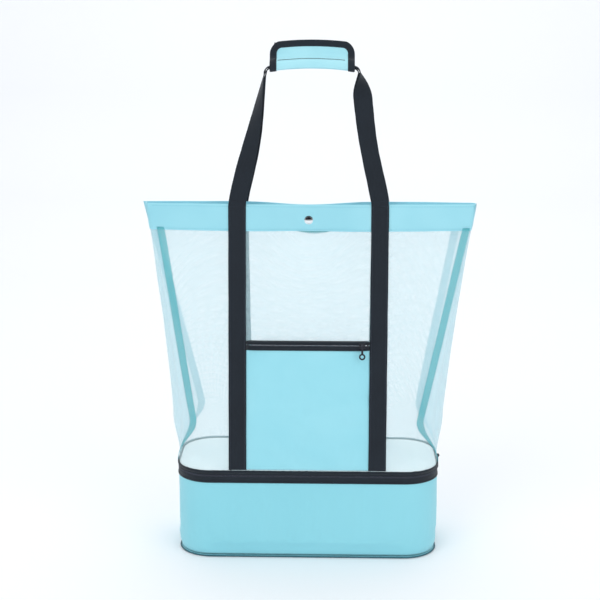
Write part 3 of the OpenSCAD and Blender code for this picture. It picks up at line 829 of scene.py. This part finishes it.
def slab(name, inset, z0, z1, material, wave=0.0):
    """Soft slab over the plan with rounded edges and a slightly uneven top."""
    insets = [46, 34, 20, 10, inset + 1.2, inset, inset, inset + 1.2, 10, 20, 34, 46]
    levels = [z0] * 5 + [mix(z0, z1, 0.3), mix(z0, z1, 0.7)] + [z1] * 5
    rows = []
    for grow, z in zip(insets, levels):
        dip = wave if z == z1 else 0
        rows.append([Vector((x, y, z - dip * (0.5 + 0.5 * rumple(x, y, 0, 40))))
                     for x, y, nx, ny in whole_route(max(inset, grow))])
    return tube_of(name, rows, material)


def tote_floor():
    foam_low, foam_high = box_mm("divider_foam")
    foil_low, foil_high = box_mm("divider_foil")
    panel_low, panel_high = box_mm("tote_floor_panel")
    pad = slab("divider_pad", 4.7, foam_low.z + 0.05, foam_high.z - 0.05, white_foam, 0.2)
    put(pad, "tote", "foam", "divider_foam")
    under = slab("divider_foil_face", 4.6, foil_low.z, foil_high.z - 0.05, foil_face)
    put(under, "tote", "foil", "divider_foil")
    top = slab("tote_floor_cloth", 1.4, panel_low.z + 0.05, panel_high.z, lining_cloth, 0.4)
    put(top, "tote", "white_lining", "tote_floor_panel")


# ------------------------------------------------------------ mesh tote

FRONT_SEED = 1
TAPE_W = 11


def strap_half(z):
    """Half distance between the sewn straps: a little closer at the foot."""
    return mix(STRAP_X - 1.5, STRAP_X, (z - RIM) / (MOUTH - RIM))


def panel_fold(x, z, seed):
    """Outward ripple of a mesh panel: held at the straps, the hem and the band."""
    held = ease((z - RIM) / 45) * ease((BAND_Z + 8 - z) / 60)
    beside = min(1, abs(abs(x) - strap_half(z)) / 45)
    ripple = 1.7 * rumple(x, z * 0.32, 0, 60, seed) + 0.5 * rumple(x * 1.4, z * 0.5, 0, 21, seed + 3)
    gather = 1.8 * hump(abs(x) + 0.5 * (z - RIM) - 150, 16)
    fold = held * beside * ripple
    if seed == FRONT_SEED and abs(x) < POCKET_HALF and z < RIM + POCKET_H:
        fold = min(0, fold)
    return fold - gather * ease((z - RIM) / 14) * ease((RIM + 110 - z) / 50)


def net_piece(name, side, columns, place, material, node):
    """Net from the hem to under the band; below the rim it hangs straight down."""
    rows = []
    for z in steps(RIM - 1, BAND_Z + 6, 84):
        points = [place(column, max(z, RIM)) for column in columns]
        rows.append([turned((p.x, p.y, z), side) for p in points])
    return put(sheet_of(name, rows, material), "tote", "mesh", node)


def mesh_panel(name, side, seed, node):
    def place(u, z):
        edge = ease((1 - abs(u)) / 0.1)
        return front_at(u, z, panel_fold(front_plan(u, z)[0], z, seed) * edge - 0.2)
    obj = net_piece(name, side, steps(-1, 1, 108), place, panel_net, node)


def mesh_gusset(name, side, seed, node):
    """Side gusset with its soft middle fold and a second crease inside it."""
    def place(t, z):
        slack = ease((z - RIM) / 60) * ease((BAND_Z + 8 - z) / 90)
        crease = 5.0 * hump(abs(t) - 0.62, 0.16)
        ripple = 1.6 * rumple(t * 40, z * 0.4, 0, 28, seed) * (1 - t * t)
        return gusset_at(t, z, side, (ripple - crease) * slack - 0.2)
    obj = net_piece(name, side, steps(-1, 1, 40), place, gusset_net, node)


def tape_share(z, k, side):
    """Column of the seam tape, k from 0 inside to 1 at the seam, of one width all the way."""
    high = max(z, WAIST)
    up = math.hypot(seam_x(high, side) - FLAT_X, panel_y(high) - seam_y(high))
    length = mix(math.pi / 2 * CORNER_R, up, low_share(z))
    narrow = mix(0.45, 1.0, ease((z - RIM - 8) / 50))
    return side * (1 - (1 - FLAT_U) * TAPE_W * narrow * (1 - k) / length - 0.002)


def seam_tape(name, side, face, node):
    """Tape over a corner seam: side is its end of the panel, face 1 in front and -1 behind."""
    rows = []
    for z in steps(RIM + 1, BAND_Z + 4, 170):
        fray = 0.5 * rumple(0, 0, z, 2.3, 4)
        row = []
        for k in steps(0, 1, 6):
            out = 1.2 + 0.35 * math.sin(math.pi * k) + 0.3 * rumple(0, 0, z, 22, 9)
            p = front_at(tape_share(z, k, side), z, out)
            row.append(turned(p + Vector((side * fray if k == 0 else 0, 0, 0)), face))
        rows.append(row)
    material = seam_net if face > 0 else back_seam_net
    put(thicken(sheet_of(name, rows, material), 0.5, 0.0), "tote", "teal_seam_tape", node)


# ------------------------------------------------------------ top band and snap

# Places on a side fold where the band has points, from its middle to the seam
END_TS = (-0.9, -0.78, -0.65, -0.5, -0.35, -0.2, -0.1, -0.008)
BAND_COLUMNS = [(-1, t) for t in reversed(END_TS)] + steps(-1, 1, 120) + [(1, t) for t in END_TS]
# The snap's cap and its rivet behind: (share of the cap's radius, height) of their outlines
DOME = [(0.2, -0.8), (1.02, -0.6), (1.04, 0.3), (0.99, 0.95), (0.88, 1.2), (0.82, 1.15), (0.77, 1.3),
        (0.66, 1.9), (0.48, 2.5), (0.26, 2.9), (0.0081, 3.0)]
RIVET = [(0.1935, -0.6), (0.76, -0.4), (0.78, 0.2), (0.66, 0.8), (0.5, 0.95), (0.42, 0.6),
         (0.0484, 0.5)]


def band_point(s, z, face, out=0):
    """s from -1 to 1 along the front panel, or a pair (side, t) on the gusset's fold."""
    if isinstance(s, tuple):
        return turned(gusset_at(s[0] * s[1], z, s[0] * face, out), s[0])
    return front_at(s, z, out)


def band_droop(x):
    """The mouth sags a little where the snap closes it."""
    return 2.6 * hump(x, 62)


def band_wave(x, z, seed):
    held = min(1, abs(abs(x) - STRAP_X) / 40)
    free = 1 - hump(x, 14)
    return held * free * (1.5 * rumple(x, z * 0.4, 0, 52, seed) + 0.5 * rumple(x, z, 0, 19, seed + 2))


def band_row(columns, z, face, out, seed):
    """Points of the band at height z, with its waves and its sag."""
    row = []
    for s in columns:
        x = band_point(s, z, face).x
        p = band_point(s, z, face, out + band_wave(x, z, seed))
        p.z -= band_droop(x)
        row.append(turned(p, face))
    return row


def top_band(name, face, seed, node):
    """Doubled band: outer face, rounded top edge, inner face and turned hem."""
    low, high = BAND_Z, MOUTH
    sections = []
    for z in steps(low, high - 0.8, 16):
        puff = 0.48 * ease((z - low) / 8) * ease((high - z) / 8) if z < high - 3 else 0
        sections.append((z, 0.75 + puff))
    sections += [(high - 0.2, 0.3), (high, -0.5), (high - 0.2, -1.1)]
    sections += [(z, -1.25) for z in steps(high - 0.8, low, 8)] + [(low - 0.1, -0.3)]
    rows = [band_row(BAND_COLUMNS, z, face, out, seed) for z, out in sections]
    obj = put(sheet_of(name, rows + rows[:1], band_cloth), "tote", "aqua_band", node)
    outwards = Vector((0, -face, 0))
    lines = [[(p, outwards) for p in band_row(steps(-1, 1, 200), z, face, 1.05, seed)]
             for z in (low + 2.4, high - 3.2)]
    sewn = put(sewing(name + "_stitches", lines, aqua_thread, half=0.16), "tote", "aqua_band")


def band_lining_edge():
    """Net selvedge that shows in small points below the band behind the snap."""
    rows = [[], []]
    for i, x in enumerate(steps(-17, 31, 96)):
        rise = ease(1 - abs(x - 7) / 24) ** 0.5
        tooth = 1.2 if i % 6 < 3 else -1.2
        for row, drop in zip(rows, (0.0, rise * (2.3 + tooth + 0.4 * rumple(x, 0, 0, 3)))):
            p = front_at(FLAT_U * x / FLAT_X, BAND_Z - drop, 1.1)
            p.z -= band_droop(x)
            row.append(p)
    put(thicken(sheet_of("band_lining_edge", rows, selvedge), 0.3, 0.0), "tote", "teal_seam_tape")


def snap():
    """Spring snap: a rolled rim, a groove and a domed middle, with the stud's rivet behind."""
    for name, outline, face, material, node in (("snap_cap_dome", DOME, -1, polished, "snap_cap"),
                                                ("snap_rivet_back", RIVET, 1, chrome, "snap_stud_rivet")):
        profile = [(CAP_R * share, h) for share, h in outline]
        centre = Vector((0, face * (CLOTH + 2.0), SNAP_Z))
        put(lathe(name, profile, centre, Vector((0, face, 0)), material), "tote", "snap_chrome", node)


# ------------------------------------------------------------ webbing

# The grip sits this far right of the middle
GRIP_SHIFT = 4.5
LOOP_Z = GRIP_Z + 3.7
TURN_R = 6
LOOP_STEP = 2.4
SEWN_OUT = 0.8 + WEB_T / 2
SELVEDGE_PITCH = 1.5
# When each leg starts to twist and how late it hurries, as seen from the front
TWIST = {-1: (0.2, 1.0), 1: (0.8, 1.1)}
# How far each leg bows sideways half way up
LEG_BOW = {-1: 1.8, 1: -3.5}


def grip_arch(x):
    """The grip is carried up a little in its middle."""
    return 1.6 - 4.0 * min(1.3, abs(x - GRIP_SHIFT) / GRIP_HALF) ** 2


def sewn_point(side, z, front, back_shift):
    y = panel_y(z) + SEWN_OUT * math.cos(LEAN)
    return Vector((side * strap_half(z) + back_shift, -front * y, z + SEWN_OUT * math.sin(LEAN)))


def leg_point(side, t, front, nest, back_shift):
    """Point of a free leg: t from 0 at the mouth to 1 below the grip."""
    share = ease(t)
    turn = GRIP_HALF + TURN_R + nest * LOOP_STEP
    bulge = LEG_BOW[side] * math.sin(math.pi * t) ** 2
    x = side * mix(STRAP_X, turn, t) + mix(back_shift, GRIP_SHIFT, share) + bulge
    lift = grip_arch(side * GRIP_HALF + GRIP_SHIFT) * share
    return Vector((x, -front * mix(MOUTH_D + SEWN_OUT, 0, share), mix(MOUTH, LOOP_Z - TURN_R, t) + lift))


def half_loop(side, front, nest, back_shift):
    """(point, twist) pairs from the foot of a strap up to where it enters the grip."""
    points = [(sewn_point(side, z, front, back_shift), 0.0) for z in steps(RIM + 1.5, MOUTH - 3, 250)]
    start, hurry = TWIST[side]
    for t in steps(0.02, 1, 130):
        twist = max(0, (t - start) / (1 - start)) ** hurry
        points.append((leg_point(side, t, front, nest, back_shift), twist))
    r = TURN_R + nest * LOOP_STEP
    foot = LOOP_Z - TURN_R + grip_arch(side * GRIP_HALF + GRIP_SHIFT)
    for c, s in map(heading, steps(8, 90, 10)):
        points.append((Vector((side * (GRIP_HALF + r * c) + GRIP_SHIFT, 0, foot + r * s)), 1.0))
    return points


def loop_stations(front, nest, back_shift):
    """From the foot of the right strap, over the grip, to the foot of the left one."""
    right, left = (half_loop(side, front, nest, back_shift) for side in (1, -1))
    across = [(Vector((x + GRIP_SHIFT, 0, LOOP_Z + nest * LOOP_STEP + grip_arch(x + GRIP_SHIFT))), 1.0)
              for x in steps(GRIP_HALF - 3, 3 - GRIP_HALF, 40)]
    whole = right + across + left[::-1]
    turn_at = len(right) + len(across) // 2
    stations = []
    for i, (p, twist) in enumerate(whole):
        a, b = whole[max(0, i - 1)][0], whole[min(len(whole) - 1, i + 1)][0]
        tangent = (b - a).normalized()
        c, s = heading(90 * twist)
        w = Vector((c if i < turn_at else -c, s, 0))
        w = (w - tangent * w.dot(tangent)).normalized()
        stations.append((p, w, tangent.cross(w)))
    return stations


def webbing_loop(name, front, nest, back_shift, *nodes):
    """Webbing loop with a scalloped selvedge, and the stitches that hold its two straps."""
    stations = loop_stations(front, nest, back_shift)
    profile = rounded_bar(WEB_W / 2, WEB_T / 2, 0.5)
    rows, reach, last = [], 0.0, stations[0][0]
    for p, side, normal in stations:
        reach += (p - last).length
        last = p
        scallop = 0.22 * math.cos(math.pi * reach / SELVEDGE_PITCH)
        rows.append([p + side * (a + math.copysign(scallop, a)) + normal * b for a, b in profile])
    obj = tube_of(name, rows, black_web)
    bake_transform(obj)
    stand_for(obj, "black_webbing", *nodes)
    outwards = Vector((0, -front, 0))
    lines = []
    for side in (-1, 1):
        for edge in (-1, 1):
            onto = Vector((edge * (WEB_W / 2 - 2.2), -front * (WEB_T / 2 + 0.02), 0))
            lines.append([(sewn_point(side, z, front, back_shift) + onto, outwards)
                          for z in steps(RIM + 3, MOUTH - 4, 120)])
    put(sewing(name + "_stitches", lines, black_thread, half=0.2), "tote", "black_webbing")


# ------------------------------------------------------------ grip

PAD = 2.5
CORNER = 16
BIND = 9
CURVE_STEPS = 80
# Height of the crease that runs along the grip where its padding steps back
FOLD_Z = 718
# (y, z) outlines of the grip's two halves, from the fold under the handle to its top edge
BACK_PROFILE = [(-12.4, 704.2), (-8, 703.7), (0, 703.6), (8, 703.8), (12.6, 704.9), (15.2, 707.6),
                (15.8, 711), (15, 715), (12.4, 718.6), (8, 722.4), (4.9, 726.2), (4, 731), (3.9, 737),
                (3.9, 743.6)]
FLAP_PROFILE = [(-13.1, 704.2), (-14.9, 705.6), (-15.8, 708.4), (-16, 711.6), (-15.4, 715),
                (-13.2, 718), (-8.4, 720.8), (-5, 724.4), (-4.1, 729), (-3.9, 735), (-3.9, 743.6)]


def curve_through(points):
    """A smooth curve through (y, z) points, as CURVE_STEPS even steps, and its length."""
    dense = []
    padded = points[:1] + points + points[-1:]
    for quad in zip(padded, padded[1:], padded[2:], padded[3:]):
        for t in steps(0, 1, 8)[:-1]:
            dense.append(tuple(0.5 * (2 * b + (c - a) * t + (2 * a - 5 * b + 4 * c - d) * t * t
                                      + (3 * b - 3 * c + d - a) * t ** 3) for a, b, c, d in zip(*quad)))
    dense.append(points[-1])
    reach = [0.0]
    for a, b in zip(dense, dense[1:]):
        reach.append(reach[-1] + math.dist(a, b))
    out, k = [], 0
    for want in steps(0, reach[-1], CURVE_STEPS):
        while k < len(dense) - 2 and reach[k + 1] < want:
            k += 1
        t = (want - reach[k]) / (reach[k + 1] - reach[k])
        out.append(tuple(mix(a, b, t) for a, b in zip(dense[k], dense[k + 1])))
    return out, reach[-1]


class GripFace:
    """Maps (x, v) to a point of a grip face: v runs up the profile in millimetres."""

    def __init__(self, profile, side, seed):
        """side is 1 for the back half, whose outside looks along +y, and -1 for the flap."""
        self.curve, self.length = curve_through(profile)
        self.side, self.seed = side, seed
        self.fold = next(v for v in steps(0, self.length, 200) if self.place(v)[1] > FOLD_Z and v > 6)

    def place(self, v):
        t = min(1, max(0, v / self.length)) * CURVE_STEPS
        k = min(CURVE_STEPS - 1, int(t))
        return tuple(mix(a, b, t - k) for a, b in zip(self.curve[k], self.curve[k + 1]))

    def at(self, x, v, out=0.0):
        y, z = self.place(v)
        y0, z0 = self.place(v - 0.6)
        y1, z1 = self.place(v + 0.6)
        size = math.hypot(y1 - y0, z1 - z0) or 1
        ny, nz = self.side * (z1 - z0) / size, -self.side * (y1 - y0) / size
        soft = 0.5 * rumple(x, v, 0, 17, self.seed) + 0.9 * hump(v - self.fold - 2.2, 1.8)
        inside = ease((GRIP_HALF - abs(x)) / 14) * ease(v / 8) * ease((self.length - v) / 12)
        out += soft * inside
        return Vector((x + GRIP_SHIFT, y + ny * out, z + nz * out + grip_arch(x + GRIP_SHIFT)))

    def top(self, x):
        over = max(0, abs(x) - (GRIP_HALF - CORNER))
        return self.length - (CORNER - math.sqrt(CORNER ** 2 - over ** 2))


def grip_pad(name, face):
    xs = steps(0.4 - GRIP_HALF, GRIP_HALF - 0.4, 64)
    rows = [[face.at(x, share * (face.top(x) - 0.4), -0.1) for x in xs] for share in steps(0, 1, 40)]
    return thicken(sheet_of(name, rows, grip_cloth), PAD, face.side)


def binding_path(face):
    """(x, v, outward x, outward v) round both ends and the top of a grip face."""
    r = CORNER - BIND / 2
    x_end, v_top = GRIP_HALF - BIND / 2, face.length - BIND / 2
    x_arc, v_arc = x_end - r, v_top - r
    path = [(-x_end, v, -1.0, 0.0) for v in steps(0, v_arc, 40)]
    path += [(r * c - x_arc, v_arc + r * s, c, s) for c, s in map(heading, steps(180, 90, 12)[1:])]
    path += [(x, v_top, 0.0, 1.0) for x in steps(-x_arc, x_arc, 40)[1:]]
    path += [(x_arc + r * c, v_arc + r * s, c, s) for c, s in map(heading, steps(90, 0, 12)[1:])]
    return path + [(x_end, v, 1.0, 0.0) for v in steps(v_arc, 0, 40)[1:]]


def grip_binding(name, face):
    """Black binding folded over the pad's edge, and its stitches."""
    edge = BIND / 2
    section = [(-edge, 0.1), (0.3 - edge, 0.75), (-edge / 2, 0.95), (0, 1.0), (edge / 2, 0.95),
               (edge - 0.2, 0.8), (edge + 0.7, 0.1), (edge + 0.8, -1.2), (edge + 0.6, -PAD - 0.2),
               (edge - 1, -PAD - 0.45), (3 - edge, -PAD - 0.4)]
    path = binding_path(face)
    rows = [[face.at(x + nx * a, v + nv * a, out) for a, out in section] for x, v, nx, nv in path]
    line = [(face.at(x - nx * (edge - 1.4), v - nv * (edge - 1.4), 1.0), Vector((0, face.side, 0)))
            for x, v, nx, nv in path]
    return (sheet_of(name, rows, black_twill),
            sewing(name + "_stitches", [line], black_thread, half=0.18, stitch=2.2))


def grip_back():
    face = GripFace(BACK_PROFILE, 1, 3)
    pad = put(grip_pad("grip_back_pad", face), "handles", "aqua_grip", "grip_back_panel")
    edge, sewn = grip_binding("grip_back_edge", face)
    put(edge, "handles", "black_tape", "grip_back_binding")
    put(sewn, "handles", "black_tape")


def grip_flap():
    """The front half, which opens about its fold; a near-solid row of black blocks along its padding paints
    the shade of the crease where the padding steps back.
    """
    face = GripFace(FLAP_PROFILE, -1, 8)
    pad = grip_pad("grip_flap_pad", face)
    reach = GRIP_HALF - BIND - 3
    line = [(face.at(x, face.fold, 0.15), Vector((0, -1, 0))) for x in steps(-reach, reach, 60)]
    # Painted shade: black blocks with almost no gaps, drawn as a dark line along the fold
    crease = sewing("grip_flap_painted_shade_line", [line], black_thread, half=0.3, stitch=2.9, gap=0.15)
    edge, sewn = grip_binding("grip_flap_edge", face)
    for piece, slot, nodes in ((pad, "aqua_grip", ("grip_flap",)), (crease, "black_tape", ()),
                               (edge, "black_tape", ("grip_flap_binding",)), (sewn, "black_tape", ())):
        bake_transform(piece)
        stand_for(piece, slot, *nodes)


# ------------------------------------------------------------ pocket

def on_panel(x, h, out):
    """Point on the leaning front panel: h along it from the rim, out in front of it."""
    c, s = math.cos(LEAN), math.sin(LEAN)
    return Vector((x, -HALF_D - out * c + h * s, RIM + out * s + h * c))


def pocket_out(x, h):
    """How far the pocket stands off the mesh: deepest under its zip, shut at its foot and sides."""
    side = 1 - (abs(x) / POCKET_HALF) ** 6
    rise = ease((h - POCKET_FOOT) / 60) * 0.45 + 0.55 * (h - POCKET_FOOT) / (POCKET_TOP - POCKET_FOOT)
    sag = 1.3 * rumple(x, h * 0.8, 0, 52, 6) + 0.5 * rumple(x, h, 0, 20, 7)
    crease = 0.9 * hump(h - 92 - 0.16 * x, 9) * ease((x - 10) / 60)
    foot = 0.8 * rumple(x * 1.4, h * 0.3, 0, 22, 4) * ease((60 - h) / 60)
    free = ease(h / 14) * ease((POCKET_TOP - h) / 14)
    return 0.6 + side * (POCKET_GAP * rise + (sag + foot) * free) - crease


def pocket_tape(name, z0, z1, node):
    """Zip tape over the pocket's mouth, which turns back to the mesh at the pocket's top edge."""
    rows = []
    for h in steps(z0, z1, 6):
        row = []
        for x in steps(0.5 - POCKET_HALF, POCKET_HALF - 0.5, 60):
            proud = (POCKET_GAP + 0.8) * (1 - (abs(x) / POCKET_HALF) ** 10) + 0.25 * rumple(x, h, 0, 26, 2)
            row.append(on_panel(x, h, 0.6 + proud - 5.0 * ease((h - POCKET_H + 2.2) / 2.2)))
        rows.append(row)
    put(thicken(sheet_of(name, rows, black_twill), 0.7), "tote", "black_tape", node)


def pocket():
    rows = [[on_panel(x, h, pocket_out(x, h)) for x in steps(-POCKET_HALF, POCKET_HALF, 80)]
            for h in steps(POCKET_FOOT, POCKET_TOP, 76)]
    cloth = sheet_of("pocket_cloth", rows, pocket_cloth)
    hang(cloth, edge_points(rows), 0.014, pressure=0.1, sink=0.4)
    put(thicken(cloth, 0.7), "tote", "aqua_pocket", "pocket_panel")
    zip_h = POCKET_TOP + 6.5
    pocket_tape("pocket_lower_tape_cloth", POCKET_TOP - 1, zip_h - 0.5, "pocket_lower_tape")
    pocket_tape("pocket_upper_tape_cloth", zip_h + 0.5, POCKET_H, "pocket_upper_tape")
    teeth = Patch()
    reach = POCKET_HALF - 8
    for i in range(2 * int(2 * reach / TEETH_PITCH)):
        x = -reach + (i + 0.5) * TEETH_PITCH / 2
        centre = on_panel(x, zip_h + (0.62 if i % 2 else -0.62), POCKET_GAP + 1.9)
        teeth.block(centre, Vector((0.26, 0, 0)), Vector((0, 0.4, 0)), UP * 1.1)
    put(teeth.make("pocket_zip_teeth", nylon, smooth=False), "tote", "zip_coil", "pocket_zip_coil")


# ------------------------------------------------------------ studio

def camera():
    """Looks from a little above the mouth, close to straight in front."""
    distance, height, turn, down, aim, roll = 1990, 826, 1.0, 12.9, 1.36, 0.06
    data = bpy.data.cameras.new("camera")
    data.sensor_width = 36
    data.lens = 83.7
    obj = bpy.data.objects.new("camera", data)
    bpy.context.scene.collection.objects.link(obj)
    c, s = heading(turn)
    obj.location = (distance * MM * s, -distance * MM * c, height * MM)
    facing = (Matrix.Rotation(math.radians(aim), 3, "Z") @ Matrix.Rotation(math.radians(90 - down), 3, "X")
              @ Matrix.Rotation(math.radians(roll), 3, "Z"))
    obj.rotation_euler = facing.to_euler()
    bpy.context.scene.camera = obj


def studio():
    """Pale paper sweep, soft sky and wide lights on the bag and on the paper behind it."""
    profile = [(-3000, -0.5), (-1500, -0.5), (0, -0.5), (1200, -0.5), (1700, 40), (2100, 190), (2400, 480),
               (2550, 900), (2600, 1500), (2600, 3600)]
    rows = [[Vector((x, y, z)) for x in steps(-4200, 4200, 6)] for y, z in profile]
    sheet_of("paper_sweep", rows, paper("studio paper", rgba(250, 252, 255)))
    world = bpy.data.worlds.new("soft sky")
    world.use_nodes = True
    sky = world.node_tree.nodes["Background"]
    sky.inputs["Color"].default_value = (0.975, 0.99, 1.0, 1.0)
    sky.inputs["Strength"].default_value = 0.625
    scene = bpy.context.scene
    scene.world = world
    scene.view_settings.view_transform = "Standard"
    for name, place, aim_y, size, power in (("key light", (-1.3, -2.0, 2.3), 0, 1.8, 22),
                                            ("fill light", (1.6, -1.8, 1.6), 0, 1.8, 13),
                                            ("paper light", (0.0, 1.0, 2.6), 0.9, 2.6, 24)):
        data = bpy.data.lights.new(name, "AREA")
        data.size = size
        data.energy = power
        lamp = bpy.data.objects.new(name, data)
        lamp.location = place
        aim = Vector((0, aim_y, 0.35)) - Vector(place)
        lamp.rotation_euler = aim.to_track_quat("-Z", "Y").to_euler()
        scene.collection.objects.link(lamp)


def repaint_nodes():
    """CAD nodes whose shape is right keep it and get a finished material."""
    for names, material in ((("cooler_zip_slider", "cooler_zip_puller", "pocket_zip_slider",
                              "pocket_zip_puller", "pocket_zip_stops"), black_zinc),
                            (("snap_socket", "snap_stud"), steel),
                            (("cooler_zip_stops",), black_twill),
                            (("grip_hook_tape", "grip_loop_tape"), pile)):
        for name in names:
            data = NODES[name].data
            data.materials.clear()
            data.materials.append(material)


camera()
studio()
repaint_nodes()
cooler_skin()
cooler_inside()
cooler_base()
cooler_zip()
tote_floor()
mesh_panel("front_mesh_net", 1, FRONT_SEED, "front_mesh_panel")
mesh_panel("back_mesh_net", -1, 2, "back_mesh_panel")
mesh_gusset("right_gusset_net", 1, 3, "right_mesh_gusset")
mesh_gusset("left_gusset_net", -1, 4, "left_mesh_gusset")
seam_tape("front_right_seam_net", 1, 1, "front_right_seam_tape")
seam_tape("front_left_seam_net", -1, 1, "front_left_seam_tape")
seam_tape("back_right_seam_net", -1, -1, "back_right_seam_tape")
seam_tape("back_left_seam_net", 1, -1, "back_left_seam_tape")
top_band("front_band_cloth", 1, 1, "front_top_band")
top_band("back_band_cloth", -1, 2, "back_top_band")
band_lining_edge()
snap()
webbing_loop("front_webbing", 1, 1, 0, "front_left_strap", "front_right_strap",
             "front_handle_loop", "handle_bends")
webbing_loop("back_webbing", -1, 0, 1.5, "back_left_strap", "back_right_strap", "back_handle_loop")
grip_back()
grip_flap()
pocket()
